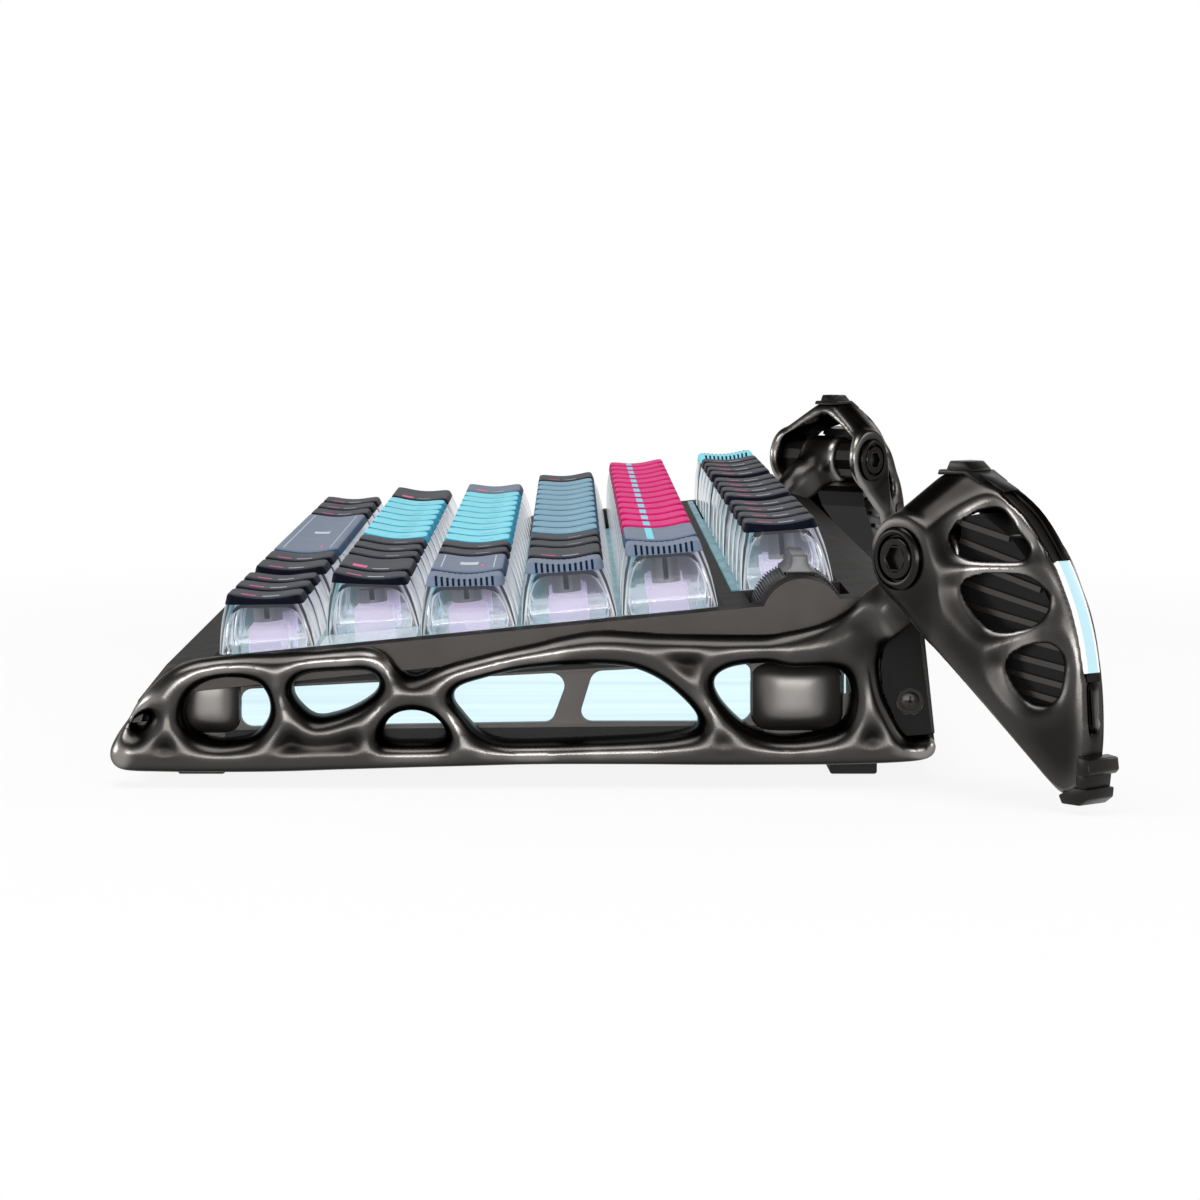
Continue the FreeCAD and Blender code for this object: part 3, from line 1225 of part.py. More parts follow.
def build_all():
    pieces = [make_keys(*key) for key in KEYS]
    pieces += [make_switch_housings(), make_switch_plate(), make_circuit_board(), make_plate_gaskets()]
    pieces += make_stabilizers()
    pieces += [make_top_cover(), make_lower_case(), make_side_diffusers(), make_rear_cover(), make_socket()]
    pieces += make_roller()
    pieces += [make_rubber_feet(), make_case_screws()]
    pieces += make_deck_trim()
    paired = [make_side_frame(), make_leg_shell()] + make_leg_parts() + make_hinge_hardware()
    doc.recompute()
    for right in paired:
        pieces += [right, mirrored_copy(right, right.Label.replace("_right", "_left"))]
    doc.recompute()
    return pieces


def check(pieces):
    for item in doc.Objects:
        if "Invalid" in item.State or "Error" in item.State:
            raise ValueError(f"{item.Label}: {item.State}")
    for piece in pieces:
        if piece.Shape.isNull() or not piece.Shape.isValid() or piece.Shape.Volume <= 0:
            raise ValueError(f"{piece.Label} has no valid solid")


def export(pieces):
    os.makedirs("parts", exist_ok=True)
    for piece in pieces:
        piece.Shape.exportStep(f"parts/{piece.Label}.step")
        print(piece.Label, len(piece.Shape.Solids), "solids", round(piece.Shape.Volume), "mm3")


model = build_all()
check(model)
export(model)
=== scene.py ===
# %% [markdown]
# # A compact keyboard with magnetic switches
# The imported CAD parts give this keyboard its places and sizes. This script dresses them: it grows the cast side
# frames and legs, shapes the keycaps with their clear skirts, and gives every part a finish.
# Lengths are in millimetres until a mesh is made, because the parts were drawn in them. Blender works in metres,
# so each mesh is scaled on its way into the scene.

import math

import bmesh
import bpy
import numpy as np
import openvdb
from mathutils import Euler, Matrix, Vector


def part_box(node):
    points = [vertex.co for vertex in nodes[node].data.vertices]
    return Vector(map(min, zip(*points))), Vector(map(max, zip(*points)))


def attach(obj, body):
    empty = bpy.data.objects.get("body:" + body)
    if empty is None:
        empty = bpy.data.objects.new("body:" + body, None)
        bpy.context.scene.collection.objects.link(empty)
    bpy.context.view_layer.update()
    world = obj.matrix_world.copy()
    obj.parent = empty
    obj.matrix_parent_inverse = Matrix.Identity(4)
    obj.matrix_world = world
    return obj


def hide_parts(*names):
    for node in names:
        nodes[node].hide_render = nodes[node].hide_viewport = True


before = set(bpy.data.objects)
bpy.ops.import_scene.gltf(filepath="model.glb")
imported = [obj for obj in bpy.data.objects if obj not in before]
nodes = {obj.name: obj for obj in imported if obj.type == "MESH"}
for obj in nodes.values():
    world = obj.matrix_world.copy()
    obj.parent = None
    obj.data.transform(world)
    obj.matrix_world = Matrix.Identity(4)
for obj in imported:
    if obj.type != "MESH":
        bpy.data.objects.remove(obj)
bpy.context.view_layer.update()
scene = bpy.context.scene
MM = 0.001

# %% [markdown]
# ## The places that the parts share
# On the real keyboard every key stands square on one sloped plane, the deck, and the side frames follow its slope.
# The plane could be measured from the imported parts. A few named values say it more plainly, so the home line, the
# slope and the key pitch are written once, and all pieces are placed by them.

# %% The deck, the key field and the hinges
# The home line of the deck is the row of upper letters. A leg's own frame turns outward by the splay.
HOME_Y = -6.4
DECK_HEIGHT = 29.8
TYPING_ANGLE = math.radians(5.6)
SLOPE = math.tan(TYPING_ANGLE)
PITCH = 19.05
FIELD_HALF = 8 * PITCH
CAP_GAP = 0.85
HINGE = Vector((170.8, 64.4, 43.8))
SPLAY = math.radians(40.0)
ROWS = {"bottom": -3.0, "shift": -2.0, "home": -1.0, "upper": 0.0, "number": 1.0, "function": 2.25}

millimetres = Matrix.Scale(MM, 4)
deck_place = (
    millimetres
    @ Matrix.Translation((0, HOME_Y, DECK_HEIGHT))
    @ Matrix.Rotation(TYPING_ANGLE, 4, "X")
)
leg_place = millimetres @ Matrix.Translation(HINGE) @ Matrix.Rotation(SPLAY, 4, "Z")
mirror = Matrix.Scale(-1, 4, (1, 0, 0))


def deck_z(y):
    """Height of the deck over the desk, at a distance from the home line."""
    return DECK_HEIGHT + SLOPE * y


print("the deck rises", round(math.degrees(TYPING_ANGLE), 2), "degrees to the rear")

# %% [markdown]
# ## Finishes
# No real finish is one flat colour: paint is a little uneven, a casting is rubbed bright on its ridges, and clear
# plastic shows the light under it. Here the castings also get a painted highlight on their ridges and a painted
# shade in their hollows, and the light in clear plastic is a painted glow. Such finishes could be painted as
# images. Nodes follow a piece at any size and need no file, so each finish here is a small node tree in the
# object's own coordinates.

# %% Helpers that build node trees
def node(tree, kind, **values):
    made = tree.nodes.new(kind)
    for key, value in values.items():
        if key in made.inputs:
            made.inputs[key].default_value = value
        else:
            setattr(made, key, value)
    return made


def link(tree, source, target):
    tree.links.new(source, target)


def new_material(name):
    made = bpy.data.materials.new(name)
    made.use_nodes = True
    tree = made.node_tree
    tree.nodes.clear()
    out = tree.nodes.new("ShaderNodeOutputMaterial")
    return made, tree, out


def grain(tree, scale, detail=3.0, stretch=(1.0, 1.0, 1.0)):
    """Noise in the object's own coordinates, in metres, so that it doesn't slide on the piece."""
    place = node(tree, "ShaderNodeTexCoord")
    mapping = node(tree, "ShaderNodeMapping")
    mapping.inputs["Scale"].default_value = stretch
    noise = node(tree, "ShaderNodeTexNoise", Scale=scale, Detail=detail)
    link(tree, place.outputs["Object"], mapping.inputs["Vector"])
    link(tree, mapping.outputs["Vector"], noise.inputs["Vector"])
    return noise.outputs["Fac"]


# %% Helpers for values, colours and shaders
def ranged(tree, value, low, high, start=0.0, end=1.0, **kind):
    """A value that runs from start to end, moved so that it runs from low to high."""
    step = node(tree, "ShaderNodeMapRange", **kind)
    for name, number in (("From Min", start), ("From Max", end), ("To Min", low), ("To Max", high)):
        step.inputs[name].default_value = number
    link(tree, value, step.inputs["Value"])
    return step.outputs["Result"]


def ramp(tree, value, stops, interpolation="LINEAR"):
    """A colour that follows a value through stops of (position, colour)."""
    made = node(tree, "ShaderNodeValToRGB")
    made.color_ramp.interpolation = interpolation
    for element, (position, colour) in zip(made.color_ramp.elements, (stops[0], stops[-1])):
        element.position = position
        element.color = (*colour, 1)
    for position, colour in stops[1:-1]:
        made.color_ramp.elements.new(position).color = (*colour, 1)
    link(tree, value, made.inputs["Fac"])
    return made.outputs["Color"]


def combined(tree, operation, *values):
    """A Math node on sockets or plain numbers."""
    made = node(tree, "ShaderNodeMath", operation=operation)
    for socket, value in zip(made.inputs, values):
        if isinstance(value, float):
            socket.default_value = value
        else:
            link(tree, value, socket)
    return made.outputs["Value"]


def blended(tree, share, under, over):
    """Two shaders, with a share of the second one."""
    made = node(tree, "ShaderNodeMixShader")
    link(tree, share, made.inputs["Fac"])
    link(tree, under, made.inputs[1])
    link(tree, over, made.inputs[2])
    return made.outputs["Shader"]


# %% [markdown]
# ### Opaque finishes
# The frames and legs are cast metal. Their colour is darker in the hollows, as painted shade, and bright on the
# ridges, as rubbing and a painted highlight. Blender's pointiness could find the ridges, but it shows the grid that
# the casting was grown on. The castings carry their own smoothed measure of it instead, as an attribute, and this
# finish turns it into that painted shade and highlight.

# %% An opaque finish
GUNMETAL = (0.021, 0.0193, 0.018)
# the ridge colour: rubbing and a painted highlight
RUBBED_SHEEN = (0.30, 0.283, 0.268)
EDGE_TINT = (0.4, 0.4, 0.4, 1)
COLOUR_SPREAD = 0.08
EVEN_SHARE = 0.15


def surface(
    name,
    colour,
    roughness=0.5,
    metallic=0.0,
    uneven=0.06,
    bump=0.0,
    bump_scale=2500.0,
    specular=0.5,
    ridge=None,
):
    """An opaque finish with slightly uneven colour and roughness and a fine bump. With a ridge colour, the
    convex places get that colour, as rubbing and a painted highlight, and the hollows get a painted shade."""
    made, tree, out = new_material(name)
    shader = node(tree, "ShaderNodeBsdfPrincipled")
    shader.inputs["Metallic"].default_value = metallic
    shader.inputs["Specular IOR Level"].default_value = specular
    if metallic == 1.0:
        shader.inputs["Specular Tint"].default_value = EDGE_TINT
    mix = node(tree, "ShaderNodeMix", data_type="RGBA")
    mix.inputs[6].default_value = (*[c * (1 - COLOUR_SPREAD) for c in colour], 1)
    mix.inputs[7].default_value = (*[min(1.0, c * (1 + COLOUR_SPREAD)) for c in colour], 1)
    link(tree, grain(tree, 60.0), mix.inputs[0])
    tone = mix.outputs[2]
    if ridge:
        wear = node(tree, "ShaderNodeAttribute", attribute_name="wear").outputs["Fac"]
        # painted shade in the hollows, the base colour between, and a painted highlight, partly rubbing, on the
        # ridges
        hollow = [c * 0.25 for c in colour]
        half_rubbed_sheen = [(a + 2 * b) / 5 for a, b in zip(ridge, colour)]
        stops = [(0.1, hollow), (0.52, colour), (0.74, half_rubbed_sheen), (0.95, ridge)]
        sheen_and_shade_colour = ramp(tree, ranged(tree, wear, 0.0, 1.0, start=-1.0), stops, "EASE")
        even = node(tree, "ShaderNodeMix", data_type="RGBA")
        even.inputs[0].default_value = EVEN_SHARE
        link(tree, sheen_and_shade_colour, even.inputs[6])
        link(tree, tone, even.inputs[7])
        tone = even.outputs[2]
    link(tree, tone, shader.inputs["Base Color"])
    rough = ranged(tree, grain(tree, 180.0), max(0.02, roughness - uneven), roughness + uneven)
    link(tree, rough, shader.inputs["Roughness"])
    if bump:
        relief = node(tree, "ShaderNodeBump", Strength=bump, Distance=0.0001)
        link(tree, grain(tree, bump_scale, detail=2.0), relief.inputs["Height"])
        link(tree, relief.outputs["Normal"], shader.inputs["Normal"])
    link(tree, shader.outputs["BSDF"], out.inputs["Surface"])
    return made


# %% [markdown]
# ### Lit plastic
# The light strips and the panels behind the windows are white plastic with small lamps inside. Real lamps behind
# plastic would be slow to render, so the plastic glows by itself. The switch plate and the sliders are no lamps,
# but they get the same glow, as painted light from the lamps under the keys. A little gloss keeps it from looking
# cut out.

# %% A plastic that glows
def glowing(name, colour, strength, streaks=0.0, stretch=(1.0, 1.0, 1.0)):
    """Streaks vary the glow along the stretched grain."""
    made, tree, out = new_material(name)
    shader = node(tree, "ShaderNodeBsdfPrincipled", Roughness=0.4)
    shader.inputs["Specular IOR Level"].default_value = 0.1
    shader.inputs["Base Color"].default_value = (*[c * 0.02 for c in colour], 1)
    shader.inputs["Emission Color"].default_value = (*colour, 1)
    value = ranged(tree, grain(tree, 90.0, stretch=stretch), strength * (1 - streaks), strength * (1 + streaks))
    link(tree, value, shader.inputs["Emission Strength"])
    link(tree, shader.outputs["BSDF"], out.inputs["Surface"])
    return made


# %% [markdown]
# ### Clear skirts
# Under its opaque top each keycap has a clear skirt that carries the light of the lamp below it. Glass shaders
# could do it, but sixteen keys in a row are more walls than a ray can cross. So the skirt is see-through where it
# faces the eye, and gets a painted glow for that light, a painted dark line where its corners bend the light and a
# painted shadow under the shell from three attributes: rise (0 at the foot, 1 at the shell), corner (1 on the
# rounded corners) and side (0 at the front, 1 at the rear).

# %% Clear plastic lit from below
# the tint of the painted glow from the front to the rear, and how it dims from the foot up to the shell
FRONT_HUES = [(0.0, (0.90, 0.97, 1.0)), (0.08, (0.80, 0.95, 1.0)), (0.17, (0.33, 0.72, 0.82))]
REAR_HUES = [(0.80, (0.70, 0.66, 0.86)), (0.93, (0.93, 0.95, 1.0)), (1.0, (0.95, 0.96, 1.0))]
RISE_FADE = [(0.0, (1, 1, 1)), (0.45, (0.94, 0.95, 0.97)), (1.0, (0.62, 0.63, 0.68))]
NEAR_MIDDLE = 0.42
SHADOW = (0.055, 0.058, 0.068, 1)
# painted shade: the dark line where the clear corners bend the light
CORNER_SHADE = (0.015, 0.016, 0.022, 1)


def skirt_glow(tree, rise, side, glow):
    """The tinted light in the plastic, as a shader."""
    wander = ranged(tree, grain(tree, 70.0, detail=1.0), -0.06, 0.06)
    hue = ramp(tree, combined(tree, "ADD", side, wander), [*FRONT_HUES, (NEAR_MIDDLE, glow), *REAR_HUES])
    tone = node(tree, "ShaderNodeMix", data_type="RGBA", blend_type="MULTIPLY")
    tone.inputs[0].default_value = 1.0
    link(tree, ramp(tree, rise, RISE_FADE), tone.inputs[6])
    link(tree, hue, tone.inputs[7])
    light = node(tree, "ShaderNodeEmission", Strength=1.0)
    link(tree, tone.outputs[2], light.inputs["Color"])
    return light.outputs["Emission"]


def under_shell(tree, rise, side, body):
    """The shadow of the opaque shell on the middle of each side."""
    dusk = node(tree, "ShaderNodeEmission", Strength=1.0)
    dusk.inputs["Color"].default_value = SHADOW
    depth = ranged(tree, rise, 0.0, 0.50, start=0.30, interpolation_type="SMOOTHSTEP")
    apart = combined(tree, "ABSOLUTE", combined(tree, "SUBTRACT", side, 0.52))
    middle = ranged(tree, apart, 0.0, 1.0, start=0.38, end=0.20, interpolation_type="SMOOTHSTEP")
    return blended(tree, combined(tree, "MULTIPLY", depth, middle), body, dusk.outputs["Emission"])


# %% The whole plastic
def clear_plastic(name, tint, glow, veil=0.16, edge=0.92, sided=False):
    """The glow covers a share from veil, where the plastic faces the eye, to edge, where it is seen edge-on."""
    made, tree, out = new_material(name)
    rise, corner, side = [
        node(tree, "ShaderNodeAttribute", attribute_name=key).outputs["Fac"] for key in ("rise", "corner", "side")
    ]
    through = node(tree, "ShaderNodeBsdfTransparent")
    through.inputs["Color"].default_value = (*tint, 1)
    facing = node(tree, "ShaderNodeLayerWeight", Blend=0.45).outputs["Facing"]
    bend = combined(tree, "MULTIPLY", corner, 0.8)
    share = combined(tree, "MAXIMUM", ranged(tree, facing, veil, edge), bend)
    light = skirt_glow(tree, rise, side if sided else NEAR_MIDDLE, glow)
    body = blended(tree, share, through.outputs["BSDF"], light)
    if sided:
        body = under_shell(tree, rise, side, body)
    shade = node(tree, "ShaderNodeBsdfDiffuse")
    shade.inputs["Color"].default_value = CORNER_SHADE
    edged = blended(tree, ranged(tree, corner, 0.0, 0.9, start=0.80, end=0.94), body, shade.outputs["BSDF"])
    gloss = node(tree, "ShaderNodeBsdfGlossy", Roughness=0.08)
    rim = node(tree, "ShaderNodeFresnel", IOR=1.3)
    coated = blended(tree, rim.outputs["Fac"], edged, gloss.outputs["BSDF"])
    link(tree, coated, out.inputs["Surface"])
    return made


# %% [markdown]
# ### The finishes of this keyboard
# The colours are judged against the real one: gunmetal castings, a satin cover, matte printed caps in five colours,
# lilac switch sliders and cyan light. One table holds them all, so that a piece can ask for a finish by name and two
# pieces of the same stuff always match.

# %% Every finish by name
NO_GLEAM = 0.02
looks = {
    "casting": surface("cast_gunmetal", GUNMETAL, 0.27, 1.0, uneven=0.03, ridge=RUBBED_SHEEN),
    "cover": surface("satin_cover", (0.040, 0.0365, 0.0345), 0.46, 1.0, bump=0.12, bump_scale=5000.0),
    "case": surface("case_satin", (0.125, 0.118, 0.112), 0.34, 0.9, bump=0.08, bump_scale=4000.0),
    # a darker copy of the case finish: painted shade for the side plates behind the frames
    "shaded_case_wall": surface("case_wall", (0.050, 0.0465, 0.044), 0.42, 0.9, bump=0.08, bump_scale=4000.0),
    "matte_panel": surface(
        "matte_panel", (0.004, 0.0037, 0.0034), 0.62, bump=0.3, bump_scale=5200.0, specular=0.15
    ),
    # the flank looks are darker copies of the top colours with little gloss: painted shade on the caps' sides
    "dark_cap": surface("dark_cap", (0.028, 0.031, 0.041), 0.55, bump=0.30, bump_scale=5200.0, specular=0.18),
    "dark_side": surface("dark_cap_side", (0.004, 0.005, 0.011), 0.45, bump=0.10, specular=NO_GLEAM),
    "magenta_cap": surface(
        "magenta_cap", (0.66, 0.001, 0.165), 0.50, bump=0.25, bump_scale=5200.0, specular=0.10
    ),
    "magenta_side": surface("magenta_cap_side", (0.40, 0.003, 0.085), 0.45, specular=NO_GLEAM),
    "cyan_cap": surface("cyan_cap", (0.22, 0.68, 0.80), 0.50, bump=0.25, bump_scale=5200.0, specular=0.18),
    "cyan_side": surface("cyan_cap_side", (0.025, 0.28, 0.42), 0.45, specular=NO_GLEAM),
    "teal_cap": surface("teal_cap", (0.185, 0.355, 0.455), 0.52, bump=0.25, bump_scale=5200.0, specular=0.18),
    "teal_side": surface("teal_cap_side", (0.035, 0.10, 0.18), 0.45, specular=NO_GLEAM),
    "blue_grey_cap": surface(
        "blue_grey_cap", (0.145, 0.185, 0.26), 0.52, bump=0.25, bump_scale=5200.0, specular=0.18
    ),
    "blue_side": surface("blue_cap_side", (0.040, 0.075, 0.145), 0.45, specular=NO_GLEAM),
    # black painted shade for slots and slits
    "slot_dark": surface("rib_slot", (0.006, 0.012, 0.030), 0.5, specular=NO_GLEAM),
    "ink_pale": surface("pale_print", (0.55, 0.60, 0.68), 0.5),
    "ink_pink": surface("pink_print", (0.72, 0.05, 0.22), 0.5),
    "ink_dark": surface("dark_print", (0.02, 0.10, 0.14), 0.5),
    "ink_cyan": surface("cyan_print", (0.16, 0.66, 0.80), 0.5),
    "lilac": glowing("lilac_slider", (0.66, 0.58, 0.80), 0.80, streaks=0.06),
    "post": surface("grey_post", (0.24, 0.24, 0.26), 0.22, 0.4),
    "skirt": clear_plastic("clear_skirt", (0.97, 0.98, 1.0), (0.96, 0.99, 1.0), veil=0.05, sided=True),
    "skirt_inside": clear_plastic(
        "clear_skirt_inside", (0.98, 0.98, 1.0), (0.90, 0.94, 1.0), veil=0.0, edge=0.12
    ),
    "housing": clear_plastic("clear_housing", (0.96, 0.98, 1.0), (0.88, 0.95, 1.0), veil=0.10),
    # the switch plate glows by itself: painted light from the lamps under the keys
    "plate": glowing("lit_plate", (0.35, 0.66, 0.78), 0.36, streaks=0.7),
    "board": surface("board_mask", (0.006, 0.010, 0.014), 0.4),
    "foam": surface("foam", (0.02, 0.02, 0.02), 0.9),
    "wire": surface("steel_wire", (0.6, 0.6, 0.6), 0.25, 1.0),
    "rubber": surface("rubber", (0.016, 0.015, 0.015), 0.75, bump=0.3, bump_scale=3000.0, specular=0.3),
    "screw": surface("black_screw", (0.030, 0.028, 0.026), 0.30, 0.9),
    "bolt": surface("turned_steel", (0.022, 0.021, 0.020), 0.24, 1.0),
    "bolt_dark": surface("dark_steel", (0.012, 0.011, 0.010), 0.3, 0.8),
    "rail": surface("rail_floor", (0.030, 0.028, 0.026), 0.4, 0.8),
    "clip": surface("moulded_clip", (0.014, 0.013, 0.012), 0.34, 0.8, bump=0.1),
    "core": surface("smoked_core", (0.008, 0.008, 0.008), 0.30, 0.3, specular=0.2),
    "fin": surface("smoked_fin", (0.060, 0.056, 0.053), 0.30, 0.9),
    "roller": surface("roller_dark", (0.035, 0.034, 0.033), 0.42, 0.4),
    "roller_tab": surface("roller_tab", (0.10, 0.10, 0.104), 0.4, 0.4),
    "blank": clear_plastic("clear_blank_plastic", (0.94, 0.97, 1.0), (0.80, 0.93, 1.0), veil=0.35),
    "light": glowing("lit_diffuser", (0.74, 0.94, 1.0), 0.98, streaks=0.24, stretch=(1.0, 0.07, 12.0)),
    "leg_glow": glowing("lit_strip", (0.60, 0.88, 0.98), 0.95, streaks=0.03),
    # black painted shade: the strips along the windows, the floor of the screw recess and the cross in its head
    "sill": surface("window_sill", (0.006, 0.006, 0.006), 0.4, 0.3, specular=0.2),
    "edge_glow": glowing("lit_strip_edge", (1.0, 1.0, 1.0), 1.0, streaks=0.0),
    "deck_glow": glowing("lit_deck_strip", (0.20, 0.50, 0.60), 0.40, streaks=0.8),
    "socket": surface("socket_shell", (0.45, 0.45, 0.45), 0.3, 1.0),
}
print(len(looks), "finishes")


# %% [markdown]
# ## How a piece joins the scene
# A real part is held by one body of the keyboard: the case, a leg, the roller or a key. Each piece here rides the
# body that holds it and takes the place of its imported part. Its place is worked into its points instead of its
# object, so that the object stays at the origin and a grain in object coordinates doesn't turn with it.

# %% Mesh objects from points
def new_piece(name, vertices, faces, place, materials, indices=None, smooth=True, **values):
    """A mesh object at the origin, with its place worked into its vertices."""
    mesh = bpy.data.meshes.new(name)
    mesh.from_pydata([tuple(v) for v in vertices], [], [tuple(f) for f in faces])
    for key in materials:
        mesh.materials.append(looks[key])
    if indices is not None:
        mesh.polygons.foreach_set("material_index", indices)
    for key, numbers in values.items():
        mesh.attributes.new(key, "FLOAT", "POINT").data.foreach_set("value", numbers)
    mesh.polygons.foreach_set("use_smooth", [smooth] * len(mesh.polygons))
    mesh.transform(place)
    if place.determinant() < 0:
        mesh.flip_normals()
    mesh.update()
    made = bpy.data.objects.new(name, mesh)
    scene.collection.objects.link(made)
    return made


def joined(name, parts):
    """Several pieces as one object, with the materials of all."""
    with bpy.context.temp_override(active_object=parts[0], selected_editable_objects=parts):
        bpy.ops.object.join()
    parts[0].name = name
    parts[0].data.name = name
    return parts[0]


# %% Settling a piece on its body
def settle(piece, body, slot, *replaced):
    """Fixes a finished piece to a body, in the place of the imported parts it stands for."""
    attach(piece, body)
    if replaced:
        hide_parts(*replaced)
    print(f"{piece.name}: {len(piece.data.polygons)} faces, {slot} finish, on {body}")
    return piece


# %% Edges and modifiers
def sharpen(piece, angle=35.0):
    """Smooth shading that keeps the edges steeper than an angle."""
    mesh = bmesh.new()
    mesh.from_mesh(piece.data)
    for face in mesh.faces:
        face.smooth = True
    for edge in mesh.edges:
        edge.smooth = len(edge.link_faces) == 2 and edge.calc_face_angle(0.0) < math.radians(angle)
    mesh.to_mesh(piece.data)
    mesh.free()


def flatten_modifiers(piece):
    """Makes the result of the modifiers the piece's own mesh."""
    graph = bpy.context.evaluated_depsgraph_get()
    mesh = bpy.data.meshes.new_from_object(piece.evaluated_get(graph))
    piece.modifiers.clear()
    piece.data = mesh


# %% [markdown]
# ### Parts whose packed form is already right
# The cover, the lower case and the rear cover are plain plates and walls on the real keyboard too. They could be
# modelled again, but their packed form is right except for its knife-sharp edges. So a copy is merged, its
# flat faces are joined up, and a bevel rounds the edges, because a rounded edge is what catches the light.

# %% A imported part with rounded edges
def softened(node_name, name, look, width, segments=2):
    """A copy of a CAD node with rounded edges, for a part whose form is already right."""
    piece = bpy.data.objects.new(name, nodes[node_name].data.copy())
    scene.collection.objects.link(piece)
    piece.data.transform(nodes[node_name].matrix_world)
    welded = bmesh.new()
    welded.from_mesh(piece.data)
    bmesh.ops.remove_doubles(welded, verts=welded.verts, dist=1e-6)
    bmesh.ops.dissolve_limit(welded, angle_limit=math.radians(1.0), verts=welded.verts, edges=welded.edges)
    welded.to_mesh(piece.data)
    welded.free()
    piece.data.materials.clear()
    piece.data.materials.append(looks[look])
    piece.data.polygons.foreach_set("material_index", [0] * len(piece.data.polygons))
    bevel = piece.modifiers.new("edges", "BEVEL")
    bevel.width = width * MM
    bevel.segments = segments
    bevel.limit_method = "ANGLE"
    bevel.angle_limit = math.radians(30.0)
    flatten_modifiers(piece)
    sharpen(piece, 40.0)
    return piece


# %% [markdown]
# ## Repeating with Geometry Nodes
# Equal keys stand in a row at one pitch, and the teeth of the roller go round its rim. An Array modifier could set
# the keys, and an empty could turn the teeth. A node tree has its sizes as named inputs instead, so one tree
# serves every row. The copies are made real and get their finish last, because an export drops instances.

# %% A tree and its inputs
def new_tree(name, **inputs):
    """An empty tree with the inputs that are named."""
    tree = bpy.data.node_groups.new(name, "GeometryNodeTree")
    tree.interface.new_socket("Geometry", in_out="INPUT", socket_type="NodeSocketGeometry")
    for key, kind in inputs.items():
        tree.interface.new_socket(key, in_out="INPUT", socket_type="NodeSocket" + kind)
    tree.interface.new_socket("Geometry", in_out="OUTPUT", socket_type="NodeSocketGeometry")
    return tree, tree.nodes.new("NodeGroupInput"), tree.nodes.new("NodeGroupOutput")


def real_copies(tree, source, points, turn=None):
    """Copies of the piece on some points, as real geometry."""
    piece = tree.nodes.new("GeometryNodeObjectInfo")
    copies = tree.nodes.new("GeometryNodeInstanceOnPoints")
    real = tree.nodes.new("GeometryNodeRealizeInstances")
    link(tree, source.outputs["Piece"], piece.inputs["Object"])
    link(tree, points.outputs["Mesh"], copies.inputs["Points"])
    link(tree, piece.outputs["Geometry"], copies.inputs["Instance"])
    if turn:
        link(tree, turn, copies.inputs["Rotation"])
    link(tree, copies.outputs["Instances"], real.inputs["Geometry"])
    return real.outputs["Geometry"]


def in_finish(tree, source, copies):
    """The copies with their finish set by the tree's own input."""
    dressed = tree.nodes.new("GeometryNodeSetMaterial")
    link(tree, copies, dressed.inputs["Geometry"])
    link(tree, source.outputs["Finish"], dressed.inputs["Material"])
    return dressed


# %% Keys in a row
# A key wears several finishes. So only the faces that already have the tree's finish get it, and the other
# faces keep theirs.
row_inputs = {"Piece": "Object", "Count": "Int", "Step": "Vector", "Finish": "Material"}
row_tree, source, result = new_tree("keys_in_a_row", **row_inputs)
line = row_tree.nodes.new("GeometryNodeMeshLine")
link(row_tree, source.outputs["Count"], line.inputs["Count"])
link(row_tree, source.outputs["Step"], line.inputs["Offset"])
dressed = in_finish(row_tree, source, real_copies(row_tree, source, line))
chosen = row_tree.nodes.new("GeometryNodeMaterialSelection")
link(row_tree, source.outputs["Finish"], chosen.inputs["Material"])
link(row_tree, chosen.outputs["Selection"], dressed.inputs["Selection"])
link(row_tree, dressed.outputs["Geometry"], result.inputs["Geometry"])

# %% Teeth around a rim
rim_inputs = {"Piece": "Object", "Count": "Int", "Radius": "Float", "Finish": "Material"}
rim_tree, source, result = new_tree("teeth_around_a_rim", **rim_inputs)
circle = rim_tree.nodes.new("GeometryNodeMeshCircle")
link(rim_tree, source.outputs["Count"], circle.inputs["Vertices"])
link(rim_tree, source.outputs["Radius"], circle.inputs["Radius"])
index = rim_tree.nodes.new("GeometryNodeInputIndex").outputs["Index"]
angle = combined(rim_tree, "MULTIPLY", combined(rim_tree, "DIVIDE", index, source.outputs["Count"]), 2 * math.pi)
spin = rim_tree.nodes.new("ShaderNodeCombineXYZ")
link(rim_tree, angle, spin.inputs["Z"])
dressed = in_finish(rim_tree, source, real_copies(rim_tree, source, circle, spin.outputs["Vector"]))
link(rim_tree, dressed.outputs["Geometry"], result.inputs["Geometry"])


# %% Running a tree on a piece
def repeated(piece, tree, place=None, **inputs):
    """Runs a repeating tree on a piece. The piece itself is used up."""
    carrier = bpy.data.objects.new(piece.name + "_run", bpy.data.meshes.new("seed"))
    scene.collection.objects.link(carrier)
    step = carrier.modifiers.new("copies", "NODES")
    step.node_group = tree
    keys = {item.name: item.identifier for item in tree.interface.items_tree if item.in_out == "INPUT"}
    step[keys["Piece"]] = piece
    for name, value in inputs.items():
        step[keys[name]] = value
    graph = bpy.context.evaluated_depsgraph_get()
    mesh = bpy.data.meshes.new_from_object(carrier.evaluated_get(graph))
    carrier.modifiers.clear()
    if place is not None:
        mesh.transform(place)
    carrier.data = mesh
    bpy.data.objects.remove(piece)
    return carrier


# %% [markdown]
# ## Milled and turned forms
# The clips, rails and feet are milled or moulded from flat outlines, and the bolts and the roller are turned on a
# lathe. Primitives could be scaled to fit, but then every edge is sharp. These helpers work as the machines do:
# an outline gets a height and rounded edges, and a profile is turned around an axis.

